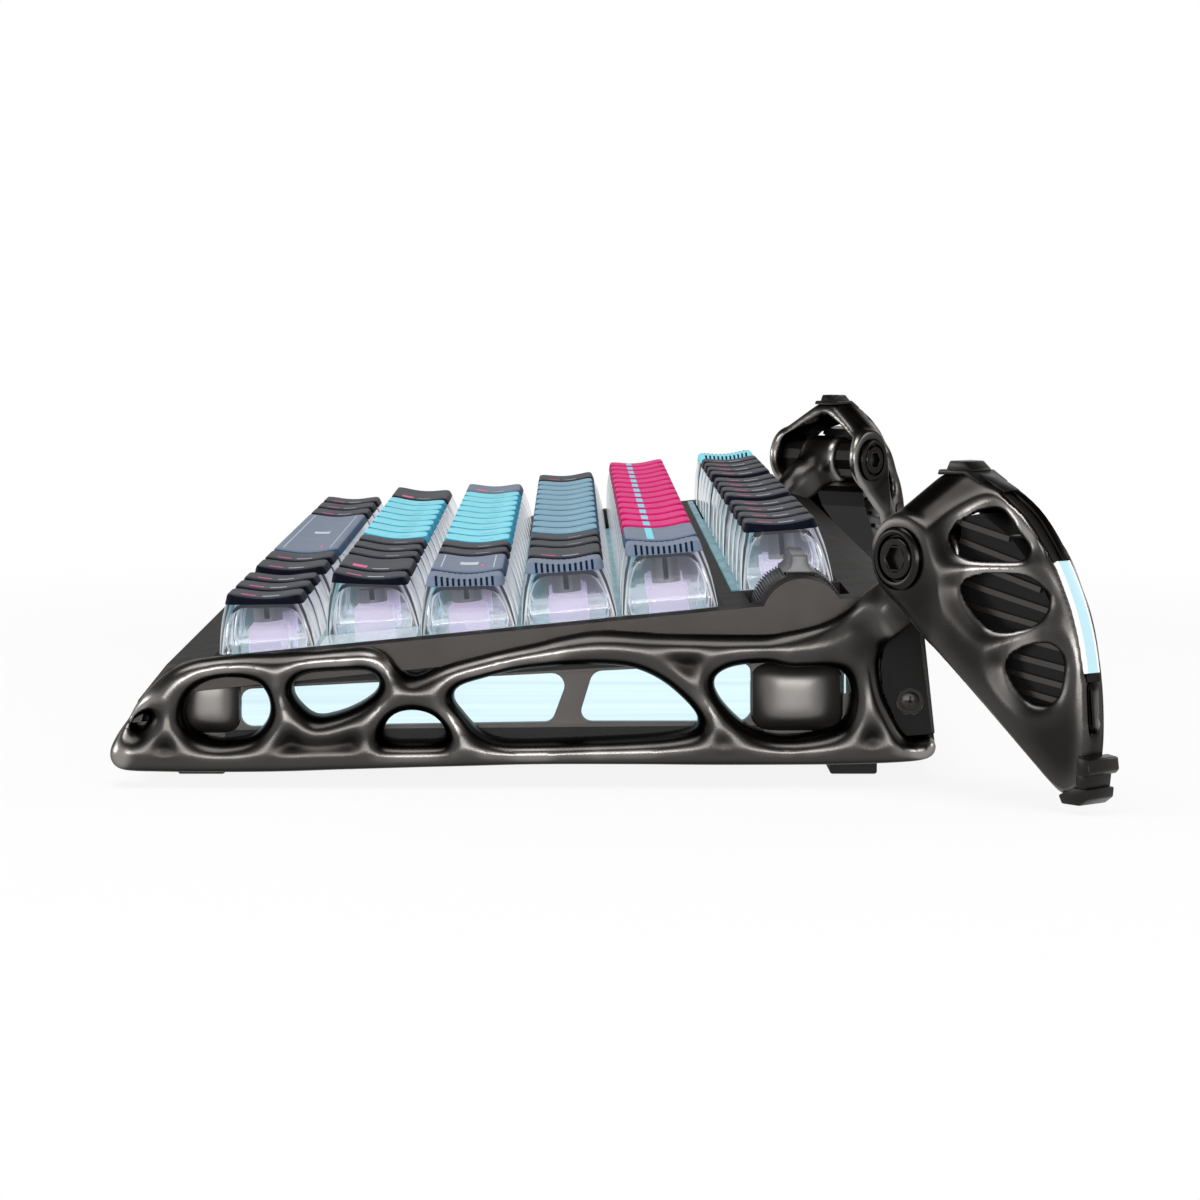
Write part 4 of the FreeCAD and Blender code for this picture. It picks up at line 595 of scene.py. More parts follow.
# %% Prisms and boxes
def prism(name, outline, low, high, place, look, bevel=0.0, segments=2):
    """An outline in X and Y with a height in Z, its edges rounded by a bevel."""
    count = len(outline)
    vertices = [(x, y, low) for x, y in outline] + [(x, y, high) for x, y in outline]
    faces = [tuple(range(count))[::-1], tuple(range(count, 2 * count))]
    faces += [(i, (i + 1) % count, count + (i + 1) % count, count + i) for i in range(count)]
    piece = new_piece(name, vertices, faces, Matrix(), [look])
    area = sum(
        outline[i][0] * outline[(i + 1) % count][1] - outline[(i + 1) % count][0] * outline[i][1]
        for i in range(count)
    )
    if area < 0:
        piece.data.flip_normals()
    if bevel:
        edge = piece.modifiers.new("edges", "BEVEL")
        edge.width = bevel
        edge.segments = segments
        edge.limit_method = "ANGLE"
        edge.angle_limit = math.radians(30)
        flatten_modifiers(piece)
    sharpen(piece, 40.0)
    piece.data.transform(place)
    if place.determinant() < 0:
        piece.data.flip_normals()
    return piece


def box(name, size, middle, place, look, bevel=0.3, segments=2):
    w, d, h = (s / 2 for s in size)
    x, y, z = middle
    outline = [(x - w, y - d), (x + w, y - d), (x + w, y + d), (x - w, y + d)]
    return prism(name, outline, z - h, z + h, place, look, bevel, segments)


# %% Turned parts
def turned(name, profile, place, look, sides=48):
    """A profile of (radius, height) turned around Z."""
    vertices, faces = [], []
    rings = len(profile)
    for radius, height in profile:
        for step in range(sides):
            a = 2 * math.pi * step / sides
            vertices.append((radius * math.cos(a), radius * math.sin(a), height))
    for ring in range(rings - 1):
        for step in range(sides):
            a, b = ring * sides + step, ring * sides + (step + 1) % sides
            faces.append((a, b, b + sides, a + sides))
    faces.append(tuple(range(sides))[::-1])
    faces.append(tuple(range((rings - 1) * sides, rings * sides)))
    piece = new_piece(name, vertices, faces, Matrix(), [look])
    sharpen(piece)
    piece.data.transform(place)
    return piece


# %% [markdown]
# ## Growing the castings
# The side frames and the legs are castings: their struts run into each other without an edge. Subdivision could
# round a cage, but a cage with this many openings is hard to keep even. A distance field is easier. It is a grid
# that holds, at each point, how far the metal's surface is, negative inside. Fields join smoothly with a little
# arithmetic, a blur rounds every corner at once, and the surface is read off where the distance is zero.

# %% Flat outlines as distances
def polygon_distance(px, py, points):
    """Signed distance to a closed outline, negative inside."""
    best = np.full(px.shape, 1e9)
    inside = np.zeros(px.shape, bool)
    for (x0, y0), (x1, y1) in zip(points, points[1:] + points[:1]):
        ex, ey = x1 - x0, y1 - y0
        t = np.clip(((px - x0) * ex + (py - y0) * ey) / (ex * ex + ey * ey + 1e-12), 0, 1)
        best = np.minimum(best, (px - x0 - t * ex) ** 2 + (py - y0 - t * ey) ** 2)
        if y0 != y1:
            crosses = (py < y0) != (py < y1)
            inside ^= crosses & (px < x0 + ex * (py - y0) / ey)
    return np.where(inside, -1.0, 1.0) * np.sqrt(best)


# %% Curves through measured points
def rounded_outline(corners, steps=6):
    """Points of an outline whose corners, given as (point, radius), are rounded."""
    points = []
    count = len(corners)
    for index, (point, radius) in enumerate(corners):
        here = Vector(point)
        before = (Vector(corners[index - 1][0]) - here).normalized()
        after = (Vector(corners[(index + 1) % count][0]) - here).normalized()
        half = before.angle(after) / 2
        centre = here + (before + after).normalized() * (radius / math.sin(half))
        start = here + before * (radius / math.tan(half)) - centre
        end = here + after * (radius / math.tan(half)) - centre
        turn = start.angle_signed(end)
        for step in range(steps + 1):
            a = -turn * step / steps
            points.append(
                (
                    centre.x + start.x * math.cos(a) - start.y * math.sin(a),
                    centre.y + start.x * math.sin(a) + start.y * math.cos(a),
                )
            )
    return points


# %% Smooth curves
def curve_points(ends, per):
    """A smooth curve (Catmull-Rom) from the second to the last point but one."""
    curve = []
    for a, b, c, d in zip(ends, ends[1:], ends[2:], ends[3:]):
        for step in range(per):
            t = step / per
            curve.append(
                tuple(
                    0.5 * (2 * q + (r - p) * t + (2 * p - 5 * q + 4 * r - s) * t**2 + (3 * q - p - 3 * r + s) * t**3)
                    for p, q, r, s in zip(a, b, c, d)
                )
            )
    return curve


def eased(points, per=4):
    """A smooth curve through a run of points, its ends kept."""
    return curve_points([points[0], *points, points[-1]], per) + [points[-1]]


def looped(points, per=4):
    """A smooth closed curve through points."""
    return curve_points([points[-1], *points, *points[:2]], per)


# %% Joining, cutting and blurring fields
def smooth_min(a, b, reach):
    """Joins two fields with a fillet of about the given reach."""
    h = np.clip(0.5 + 0.5 * (b - a) / reach, 0, 1)
    return b * (1 - h) + a * h - reach * h * (1 - h)


def smooth_max(a, b, reach):
    """Keeps what is in both fields, with the edge between them rounded."""
    return -smooth_min(-a, -b, reach)


def blurred(field, sigma):
    """A Gaussian blur by shifted sums along each axis; sigma is in grid steps."""
    reach = max(1, int(round(sigma * 2.5)))
    weights = np.exp(-0.5 * (np.arange(-reach, reach + 1) / sigma) ** 2)
    weights /= weights.sum()
    for axis in range(field.ndim):
        pad = [(0, 0)] * field.ndim
        pad[axis] = (reach, reach)
        wide = np.pad(field, pad, mode="edge")
        total = np.zeros_like(field)
        for index, weight in enumerate(weights):
            cut = [slice(None)] * field.ndim
            cut[axis] = slice(index, index + field.shape[axis])
            total += weight * wide[tuple(cut)]
        field = total
    return field


def segment_distance(px, py, pz, a, b, ra, rb):
    """Distance to a rod between two points whose radius runs from ra to rb."""
    axis = b - a
    t = ((px - a.x) * axis.x + (py - a.y) * axis.y + (pz - a.z) * axis.z) / axis.length_squared
    t = np.clip(t, 0, 1)
    gap = np.sqrt((px - a.x - t * axis.x) ** 2 + (py - a.y - t * axis.y) ** 2 + (pz - a.z - t * axis.z) ** 2)
    return gap - (ra + (rb - ra) * t)


# %% From a field to a mesh
def grid_axes(low, high, voxel):
    """The coordinates of a grid of points between two corners."""
    spans = [np.arange(a, b + voxel, voxel) for a, b in zip(low, high)]
    return np.meshgrid(*spans, indexing="ij")


def field_piece(name, field, low, voxel, place, look):
    """The zero surface of a field as a smooth mesh."""
    grid = openvdb.FloatGrid(background=float(voxel * 3))
    grid.copyFromArray(np.clip(field, -3 * voxel, 3 * voxel).astype(np.float32))
    points, quads = grid.convertToQuads(isovalue=0.0)
    return new_piece(name, points * voxel + np.array(low), quads[:, ::-1], place, [look])


def outward(piece):
    """Turns the faces of a closed piece outward."""
    mesh = bmesh.new()
    mesh.from_mesh(piece.data)
    bmesh.ops.recalc_face_normals(mesh, faces=mesh.faces)
    if mesh.calc_volume(signed=True) < 0:
        bmesh.ops.reverse_faces(mesh, faces=mesh.faces)
    mesh.to_mesh(piece.data)
    mesh.free()
    return piece


def polished(piece, rounds=6):
    """Takes the last ripples of the grid out of a grown casting."""
    step = piece.modifiers.new("polish", "SMOOTH")
    step.factor = 0.5
    step.iterations = rounds
    flatten_modifiers(piece)
    return piece


# %% [markdown]
# ### Rubbing, painted highlight and painted shade on a casting
# Hands and tumbling rub a casting bright where it sticks out, and there the finish also paints a highlight, while
# in the hollows it paints shade. How far a point sticks out can be measured: its neighbours' middle lies below it
# on a ridge and above it in a hollow. That bend is averaged with its neighbours a few times, so that the ridges get
# broad and soft, and is kept as the attribute that the finish reads.

# %% How convex each point is
def measure_sheen_and_shade(piece, rounds=30):
    """Writes how convex a grown casting is at each of its points, from -1 in a hollow to 1 on a ridge, for its
    painted shade and highlight.
    """
    mesh = piece.data
    count = len(mesh.vertices)
    points, normals = np.empty(count * 3), np.empty(count * 3)
    ends = np.empty(len(mesh.edges) * 2, np.int32)
    mesh.vertices.foreach_get("co", points)
    mesh.vertex_normals.foreach_get("vector", normals)
    mesh.edges.foreach_get("vertices", ends)
    points, normals = points.reshape(-1, 3), normals.reshape(-1, 3)
    a, b = ends.reshape(-1, 2).T
    neighbours = np.bincount(a, minlength=count) + np.bincount(b, minlength=count)

    def around(values):
        return (np.bincount(a, values[b], count) + np.bincount(b, values[a], count)) / neighbours

    step = np.stack([around(points[:, axis]) for axis in range(3)], axis=1) - points
    gap = ((points[a] - points[b]) ** 2).sum(axis=1)
    gap = (np.bincount(a, gap, count) + np.bincount(b, gap, count)) / neighbours
    bend = -(step * normals).sum(axis=1) / gap
    for _ in range(rounds):
        bend = (bend + around(bend)) / 2
    bend = np.where(bend > 0, bend / np.percentile(bend, 97), -bend / np.percentile(bend, 4))
    mesh.attributes.new("wear", "FLOAT", "POINT").data.foreach_set("value", np.clip(bend, -1, 1).astype(np.float32))
    return piece


# %% The left end of the keyboard
def mirrored(piece, name):
    """A copy on the other side of the keyboard's middle."""
    twin = bpy.data.objects.new(name, piece.data.copy())
    twin.data.transform(mirror)
    twin.data.flip_normals()
    scene.collection.objects.link(twin)
    return twin


# %% [markdown]
# ## The side frames
# Each end of the keyboard is a cast web of struts over the lit windows, and an arm sweeps from its rear corner to
# the leg. It could be built from tubes along the struts, but tubes leave creases where they meet. The real
# casting is better told by its openings: between them the metal swells, and where it is wide it dips again.

# %% The outline and the openings
# Points are (from the home line, above the desk).
FRAME_OUTLINE = [
    (-85.7, 6.2), (-84.9, 3.6), (-82.5, 2.7), (-76.0, 2.5), (-68.6, 2.4), (-54.7, 2.5), (-40.7, 2.9),
    (-22.2, 3.4), (-5.5, 3.8), (13.1, 3.8), (24.2, 3.7), (36.3, 3.7), (50.2, 3.8), (61.7, 4.2), (66.9, 4.9),
    (68.4, 6.4), (68.0, 8.8), (65.1, 9.0), (62.5, 9.4), (59.9, 13.8), (58.2, 17.9), (57.6, 22.7), (58.0, 27.2),
    (56.5, 30.5), (55.0, 33.5), (49.7, 30.2), (43.3, 28.5), (34.1, 28.2), (17.4, 28.5), (6.2, 29.1),
    (-1.8, 27.9), (-5.5, 26.9), (-12.9, 25.3), (-22.2, 22.9), (-26.3, 21.3), (-29.1, 20.3), (-31.5, 21.8),
    (-33.1, 24.2), (-35.5, 25.7), (-38.9, 26.1), (-47.6, 25.3), (-59.3, 24.8), (-65.8, 24.2), (-70.4, 23.5),
    (-74.5, 21.8), (-77.9, 18.7), (-81.2, 14.6), (-84.2, 9.6),
]
FRAME_OPENINGS = [
    [
        (-71.7, 13.7), (-70.4, 17.2), (-67.1, 19.4), (-62.5, 20.0), (-58.2, 19.2), (-56.2, 16.8), (-55.7, 14.0),
        (-56.7, 11.4), (-59.3, 9.2), (-64.3, 8.4), (-68.6, 9.2), (-71.0, 11.1),
    ],
    [
        (-51.7, 17.9), (-50.0, 20.3), (-46.7, 21.0), (-41.7, 21.2), (-37.8, 21.3), (-35.5, 20.0), (-35.7, 17.7),
        (-38.5, 15.5), (-42.2, 13.8), (-46.7, 12.8), (-48.7, 13.8), (-50.6, 15.7),
    ],
    [
        (-34.8, 8.5), (-34.7, 10.3), (-33.5, 12.5), (-31.3, 13.7), (-28.3, 13.9), (-25.3, 12.9), (-23.3, 10.7),
        (-22.9, 8.5), (-25.9, 8.2), (-31.8, 8.2),
    ],
    [
        (-21.8, 16.1), (-20.7, 18.3), (-16.1, 19.8), (-10.5, 21.2), (-4.5, 21.9), (3.2, 22.4), (11.2, 21.9),
        (16.8, 19.6), (21.1, 16.1), (23.7, 13.1), (24.2, 11.1), (21.8, 10.1), (15.5, 9.2), (1.4, 8.5), (-9.2, 8.2),
        (-13.6, 8.6), (-17.0, 10.3), (-20.0, 13.7),
    ],
    [
        (26.8, 19.0), (27.6, 20.7), (30.7, 22.1), (36.7, 22.7), (45.2, 22.7), (49.8, 22.0), (51.7, 20.1),
        (52.3, 17.0), (51.9, 13.8), (50.8, 11.4), (46.5, 9.8), (40.4, 9.1), (35.9, 9.7), (32.4, 11.6), (28.5, 15.5),
    ],
    [
        (-81.6, 10.3), (-81.0, 11.8), (-79.2, 13.4), (-77.5, 13.7), (-78.1, 12.0), (-79.7, 10.3), (-81.0, 9.8),
    ],
]
print(len(FRAME_OPENINGS), "openings in a side frame")

# %% How far the struts stand out
FRAME_IN = 155.6
RIM_OUT, STRUT_RISE, STRUT_ROUND = 158.9, 6.1, 3.6
VALLEY, VALLEY_START, VALLEY_END = 1.5, 2.6, 5.8
COVER_SIDE = 160.1
SKIRT_DROP = 5.6
FRAME_BLUR = 2.1


def frame_web(flat_y, flat_z):
    """The outline with its openings, as flat distances."""
    web = polygon_distance(flat_y, flat_z, looped(FRAME_OUTLINE))
    for opening in FRAME_OPENINGS:
        web = smooth_max(web, -polygon_distance(flat_y, flat_z, looped(opening)), 0.5)
    return web


def strut_face(x, web):
    """Distance to the outside. It rises from every edge like the quarter of a circle, and dips where the metal
    between the openings is wide."""
    inward = np.clip(1 + web / STRUT_ROUND, 0, 1)
    height = np.sqrt(1 - inward**2)
    steep = np.hypot(1, STRUT_RISE / STRUT_ROUND * inward / (height + 0.25))
    hollow = np.clip((-web - VALLEY_START) / (VALLEY_END - VALLEY_START), 0, 1)
    hollow = VALLEY * hollow**2 * (3 - 2 * hollow)
    return (x - (RIM_OUT + STRUT_RISE * height - hollow)[None]) / steep[None]


# %% The arm and the barrel of its hinge
# Each station of the arm is (a point, a radius). The barrel lies between the ears of the leg.
ARM = [
    (Vector((161.0, 35.0, 25.2)), 2.5),
    (Vector((162.4, 45.6, 27.6)), 3.6),
    (Vector((164.9, 51.6, 32.6)), 4.4),
    (Vector((167.6, 57.2, 38.0)), 4.8),
    (HINGE - Vector((1.2, 1.4, 1.8)), 5.3),
]
BARREL_RADIUS, BARREL_HALF, BARREL_BORE = 6.3, 5.9, 2.65
HINGE_LINE = Vector((math.sin(SPLAY), -math.cos(SPLAY), 0))


def arm_rods(x, y, z):
    rods = None
    for (a, ra), (b, rb) in zip(ARM, ARM[1:]):
        rod = segment_distance(x, y, z, a, b, ra, rb)
        rods = rod if rods is None else smooth_min(rods, rod, 2.4)
    return rods


def from_hinge_line(x, y, z):
    """How far points lie along the hinge's line, and from it."""
    along = (x - HINGE.x) * HINGE_LINE.x + (y - HINGE.y) * HINGE_LINE.y
    radial = np.sqrt(
        (x - HINGE.x - along * HINGE_LINE.x) ** 2
        + (y - HINGE.y - along * HINGE_LINE.y) ** 2
        + (z - HINGE.z) ** 2
    )
    return along, radial


# %% Grow the side frames
def grow_side_frame():
    voxel = 0.45
    low, high = (153.5, -93.0, 1.5), (179.5, 72.0, 51.5)
    x, y, z = grid_axes(low, high, voxel)
    web = frame_web(y[0] - HOME_Y, z[0])
    field = smooth_max(np.broadcast_to(web[None], x.shape), strut_face(x, web), 0.8)
    field = smooth_min(field, arm_rods(x, y, z), 3.4)
    along, radial = from_hinge_line(x, y, z)
    barrel = np.maximum(radial - BARREL_RADIUS, np.abs(along) - BARREL_HALF)
    field = blurred(smooth_min(field, barrel, 2.0), FRAME_BLUR)
    # nothing reaches past the barrel's ends near the hinge, into the cover or into the case
    near = np.sqrt((x - HINGE.x) ** 2 + (y - HINGE.y) ** 2 + (z - HINGE.z) ** 2)
    field = np.where(near < 11.0, np.maximum(field, np.abs(along) - BARREL_HALF - 0.05), field)
    skirt = np.minimum(COVER_SIDE - x, z - (deck_z(y - HOME_Y) - SKIRT_DROP))
    field = np.maximum(field, np.minimum(skirt, 60.0 - y))
    field = np.maximum(field, FRAME_IN - x)
    field = np.maximum(field, BARREL_BORE - radial)
    casting = field_piece("cast_side_frame_right", field, low, voxel, millimetres, "casting")
    return measure_sheen_and_shade(polished(outward(casting)))


side_frame = settle(grow_side_frame(), "case", "casting", "side_frame_right")
settle(mirrored(side_frame, "cast_side_frame_left"), "case", "casting", "side_frame_left")

# %% [markdown]
# ## The legs
# A folding leg is a hollow casting: two ears hold the hinge, and its cheeks close on a narrow keel that carries a
# light strip. It could be lofted between sections, as a ship's hull is. The same idea works in a field: at each
# distance from the middle, the outline is mixed from the keel's and the ear's. Three dished holes then go through.

# %% The outlines of the leg
# In the leg's own frame X points outward, Y runs along the hinge and Z is up from it.
KEEL = [
    (6.0, 15.4), (14.0, 12.0), (20.5, 7.6), (26.3, 0.3), (31.0, -9.0), (33.4, -19.0), (34.0, -31.0), (32.4, -40.8),
]
LEG_INNER = [(28.0, -40.8), (18.0, -31.4), (8.0, -21.0), (-1.0, -8.6), (-5.5, 1.0), (-2.6, 12.0), (-0.5, 15.0)]
EAR_OUTER = [
    (2.5, 7.2), (4.8, 6.2), (6.6, 4.2), (7.6, 1.4), (8.2, -2.2), (8.6, -6.2), (9.0, -10.2), (9.0, -13.6),
]
EAR_INNER = [(7.0, -14.4), (5.0, -13.6), (2.4, -12.0), (-2.4, -7.6), (-7.2, -0.6), (-5.6, 5.2), (-2.0, 7.4)]
LEG_HOLES = [
    [(10.6, 3.4), (10.4, 6.2), (12.4, 8.3), (14.8, 7.5), (18.0, 4.6), (20.8, 1.3), (16.6, 0.9), (12.6, 1.4)],
    [
        (12.6, -5.2), (14.6, -3.2), (20.4, -2.8), (23.6, -4.2), (25.6, -7.0), (24.0, -10.4), (18.6, -11.8),
        (15.4, -9.8),
    ],
    [
        (20.2, -17.8), (22.6, -15.4), (26.2, -14.4), (28.6, -16.2), (28.8, -20.6), (27.6, -24.0), (24.4, -24.6),
        (21.4, -21.6),
    ],
]
EAR_HALF, KEEL_HALF, LEG_WALL = 14.3, 3.0, 2.4
print("a leg is", 2 * EAR_HALF, "mm wide at its ears and has", len(LEG_HOLES), "holes")


# %% Moving and mixing outlines
def shifted(points, amount):
    """A run of points moved to its right-hand side by an amount."""
    moved = []
    for index, point in enumerate(points):
        before, after = points[max(index - 1, 0)], points[min(index + 1, len(points) - 1)]
        run = Vector(after) - Vector(before)
        side = Vector((run.y, -run.x)).normalized()
        moved.append(tuple(Vector(point) + side * amount))
    return moved


def mixed(narrow, wide, share):
    """An outline between two others."""
    return [tuple(Vector(a).lerp(Vector(b), share)) for a, b in zip(narrow, wide)]


def past_inner_edge(points):
    """The cavity reaches well past the inner edge, which is open towards the keyboard."""
    return [tuple(Vector(point) + Vector((-5.0, -3.0))) for point in points[:-2]]


# %% The hull and its cavity, slice by slice
keel_out, keel_in = eased(KEEL), eased(LEG_INNER)
strip_run, rail_run = keel_out[12:21], keel_out[4:13]
ear_out, ear_in = eased(EAR_OUTER), eased(EAR_INNER)
core_out = eased(shifted(KEEL, LEG_WALL))
core_in = eased(past_inner_edge(LEG_INNER) + [(-4.0, 10.5), (-1.0, 11.8)])
pocket_out = eased(shifted(EAR_OUTER, 0.6))
pocket_in = eased(past_inner_edge(EAR_INNER) + [(-4.5, 4.8), (-1.6, 6.4)])
CAVITY_NOSE = 0.6
CHEEK_SLANT = 0.45


def leg_hull(x, y, z):
    """Distances to the shell and to the cavity."""
    shell, cavity = np.empty_like(x), np.empty_like(x)
    flat_x, flat_z = x[:, 0, :], z[:, 0, :]
    count = y.shape[1]
    for index in range(count):
        across = abs(y[0, index, 0])
        twin = count - 1 - index
        if twin < index and abs(abs(y[0, twin, 0]) - across) < 1e-6:
            shell[:, index], cavity[:, index] = shell[:, twin], cavity[:, twin]
            continue
        share = min(max((across - KEEL_HALF) / (EAR_HALF - KEEL_HALF), 0.0), 1.0)
        shell[:, index] = polygon_distance(flat_x, flat_z, mixed(keel_out + keel_in, ear_out + ear_in, share))
        share = min(max((across - CAVITY_NOSE) / (EAR_HALF - LEG_WALL - CAVITY_NOSE), 0.0), 1.0)
        cavity[:, index] = polygon_distance(flat_x, flat_z, mixed(core_out + core_in, pocket_out + pocket_in, share))
    shell = np.maximum(shell * CHEEK_SLANT, np.abs(y) - EAR_HALF)
    return shell, np.maximum(cavity * CHEEK_SLANT, np.abs(y) - (EAR_HALF - LEG_WALL))


# %% [markdown]
# ### Holes, ears and grooves
# The ears get a round end for the bolts, and three holes are cut with rims that dish towards the outside. The
# blur then rounds every edge, as casting does. The grooves for the light strip and the rail, the slot near the
# foot and the bore are cut after the blur, because on the real leg they are milled and their edges stay crisp.

# %% Grow the legs
EAR_RADIUS, LUG_ROOM, LEG_BORE = 7.6, 7.3, 2.7
RIM_DISH, DISH_DEPTH = 3.3, 2.1
STRIP_GROOVE_HALF, RAIL_GROOVE_HALF = 1.85, 2.1
LEG_BLUR = 1.3
SLOT = (Vector((33.6, 0, -21.6)), Vector((34.1, 0, -28.6)))


def groove(x, y, z, run, depth, half):
    """Distances to a groove along a run of the keel."""
    outline = shifted(run, -depth) + shifted(run, 1.1)[::-1]
    return np.maximum(polygon_distance(x[:, 0, :], z[:, 0, :], outline)[:, None, :], np.abs(y) - half)


def grow_leg():
    voxel = 0.5
    low, high = (-10.5, -15.5, -43.0), (36.5, 15.5, 18.0)
    x, y, z = grid_axes(low, high, voxel)
    flat_x, flat_z = x[:, 0, :], z[:, 0, :]
    shell, cavity = leg_hull(x, y, z)
    radial = np.sqrt(x**2 + z**2)
    shell = smooth_min(shell, np.maximum(radial - EAR_RADIUS, np.abs(y) - EAR_HALF), 1.6)
    depth = np.clip(-shell, 0, 4)
    lug_room = np.maximum(radial - LUG_ROOM, np.abs(y) - (EAR_HALF - LEG_WALL))
    field = smooth_max(shell, -smooth_min(cavity, lug_room, 0.6), 0.8)
    dish = RIM_DISH * (1 - np.clip(depth / DISH_DEPTH, 0, 1)) ** 2
    for hole in LEG_HOLES:
        opening = polygon_distance(flat_x, flat_z, looped(hole))
        field = smooth_max(field, dish - opening[:, None, :], 0.9)
    field = blurred(field, LEG_BLUR)
    field = np.maximum(field, -groove(x, y, z, strip_run, 1.0, STRIP_GROOVE_HALF))
    field = smooth_max(field, -segment_distance(x, y, z, *SLOT, 1.3, 1.3), 0.3)
    field = np.maximum(field, -groove(x, y, z, rail_run, 0.9, RAIL_GROOVE_HALF))
    field = np.maximum(field, LEG_BORE - radial)
    casting = field_piece("cast_leg_right", field, low, voxel, leg_place, "casting")
    return measure_sheen_and_shade(polished(outward(casting), 9))


leg = settle(grow_leg(), "leg_right", "casting", "leg_shell_right")
settle(mirrored(leg, "cast_leg_left"), "leg_left", "casting", "leg_shell_left")


# %% [markdown]
# ### Light strip, rail, clip and foot
# A light strip runs along the keel between two brighter lines, and above it a bar lies in a groove. They could be
# curves with a bevel, but all they share is the keel's own curve. So one helper offsets a run of it to both sides,
# and another gives that band its width across the leg.

# %% Bands along the keel
def on_leg(outline, low, high, name, look, bevel):
    """A prism across the leg: an outline in X and Z, from low to high along the hinge's direction."""
    upright = leg_place @ Matrix.Rotation(math.radians(90), 4, "X")
    return prism(name, outline, -high, -low, upright, look, bevel)


def band(path, inner, outer):
    """A strip of even thickness along a path; the positive side is inside the leg."""
    return shifted(path, inner) + shifted(path, outer)[::-1]


# each detail is (its piece, its slot)
leg_details = {}

# %% The light strip
strip = [on_leg(band(strip_run, 0.9, -0.25), -1.35, 1.35, "lit_leg_strip_right", "leg_glow", 0.15)]
for side in (-1.5, 1.5):
    strip.append(on_leg(band(strip_run, 0.9, -0.3), side - 0.2, side + 0.2, "lit_leg_edge", "edge_glow", 0.08))
leg_details["leg_light"] = (joined("lit_leg_strip_right", strip), "light")

# %% The rail with its bar
rail = [
    on_leg(band(rail_run, 0.9, 0.25), -2.0, 2.0, "leg_rail_right", "rail", 0.1),
    on_leg(band(rail_run, 0.5, -0.55), -0.2, 1.7, "leg_rail_bar", "casting", 0.25),
    on_leg(band(keel_out[1:5], 0.4, -0.45), -2.0, 2.0, "leg_rail_head", "clip", 0.2),
    on_leg(band([(32.75, -22.0), (33.3, -28.2)], 0.0, -0.5), -0.3, 0.3, "leg_slot_rod", "bolt", 0.1),
    on_leg(band([(33.3, -19.15), (33.5, -20.6)], 0.8, -0.4), -1.6, 1.6, "leg_strip_cap", "bolt", 0.2),
]
leg_details["leg_rail"] = (joined("leg_rail_right", rail), "rail")

# %% The clip on top
CLIP_BASE = [(-1.2, 14.7), (5.4, 14.9), (9.4, 12.9), (9.7, 13.8), (6.2, 15.7), (-0.8, 15.7)]
CLIP_TOP = [(0.0, 15.5), (1.0, 17.3), (4.6, 17.3), (6.6, 15.8), (6.2, 15.0)]
CLIP_WINDOW = [(0.0, 15.9), (0.5, 15.9), (1.0, 17.0), (0.6, 17.0)]
clip = [
    on_leg(CLIP_BASE, -3.7, 3.7, "leg_clip_base", "clip", 0.25),
    on_leg(CLIP_TOP, -2.7, 2.7, "leg_clip_top", "clip", 0.3),
    on_leg(CLIP_WINDOW, -1.3, 1.3, "leg_clip_window", "bolt_dark", 0.05),
]
leg_details["leg_clip"] = (joined("leg_clip_right", clip), "clip")

# %% The foot
# Each step of the foot is (half its width, its outline).
FOOT_STEPS = [
    (4.0, [(33.4, -33.5), (36.0, -33.8), (36.3, -36.0), (35.5, -36.8), (33.0, -36.8)]),
    (3.2, [(32.4, -36.6), (35.2, -36.6), (34.8, -39.4), (32.2, -39.4)]),
    (3.5, [(28.4, -40.7), (32.2, -39.1), (35.5, -39.1), (35.3, -40.9), (33.4, -42.2), (29.2, -42.2)]),
]
foot = []
for half, outline in FOOT_STEPS:
    foot.append(on_leg(outline, -half, half, f"leg_foot_{len(foot)}", "clip", 0.3))
leg_details["leg_foot"] = (joined("leg_foot_right", foot), "rubber")

# %% Details on both legs
for part, (piece, slot) in leg_details.items():
    settle(piece, "leg_right", slot, part + "_right")
    settle(mirrored(piece, piece.name.replace("_right", "_left")), "leg_left", slot, part + "_left")

# %% [markdown]
# ### The ribbed core
# Through the holes of a leg one sees a block with slanting ribs. A striped texture could stand for them, but real
# ribs cast shadows and shift against the holes when the view moves. The block and the ribs are flat outlines
# whose two sides close on the keel like the leg itself, so one helper makes them all.

# %% The block
CORE_HALF, CORE_TAPER, CORE_EDGE = 9.4, 0.285, 0.8


def wedge(name, outline, extra, look):
    """A piece of the core: its sides close on the keel."""
    count = len(outline)
    vertices = []
    for side in (-1, 1):
        vertices += [(x, side * max(CORE_EDGE, CORE_HALF - CORE_TAPER * x + extra), z) for x, z in outline]
    faces = [tuple(range(count)), tuple(range(count, 2 * count))]
    faces += [(i, (i + 1) % count, count + (i + 1) % count, count + i) for i in range(count)]
    return outward(new_piece(name, vertices, faces, leg_place, [look], smooth=False))


core_outline = shifted(KEEL, 4.2)[1:]
core_outline += [(26.8, -36.6), (17.6, -26.4), (7.2, -13.4), (5.6, -9.4), (8.0, -4.2), (8.2, 7.6)]
core_parts = [wedge("leg_core_block", core_outline, 0.0, "core")]

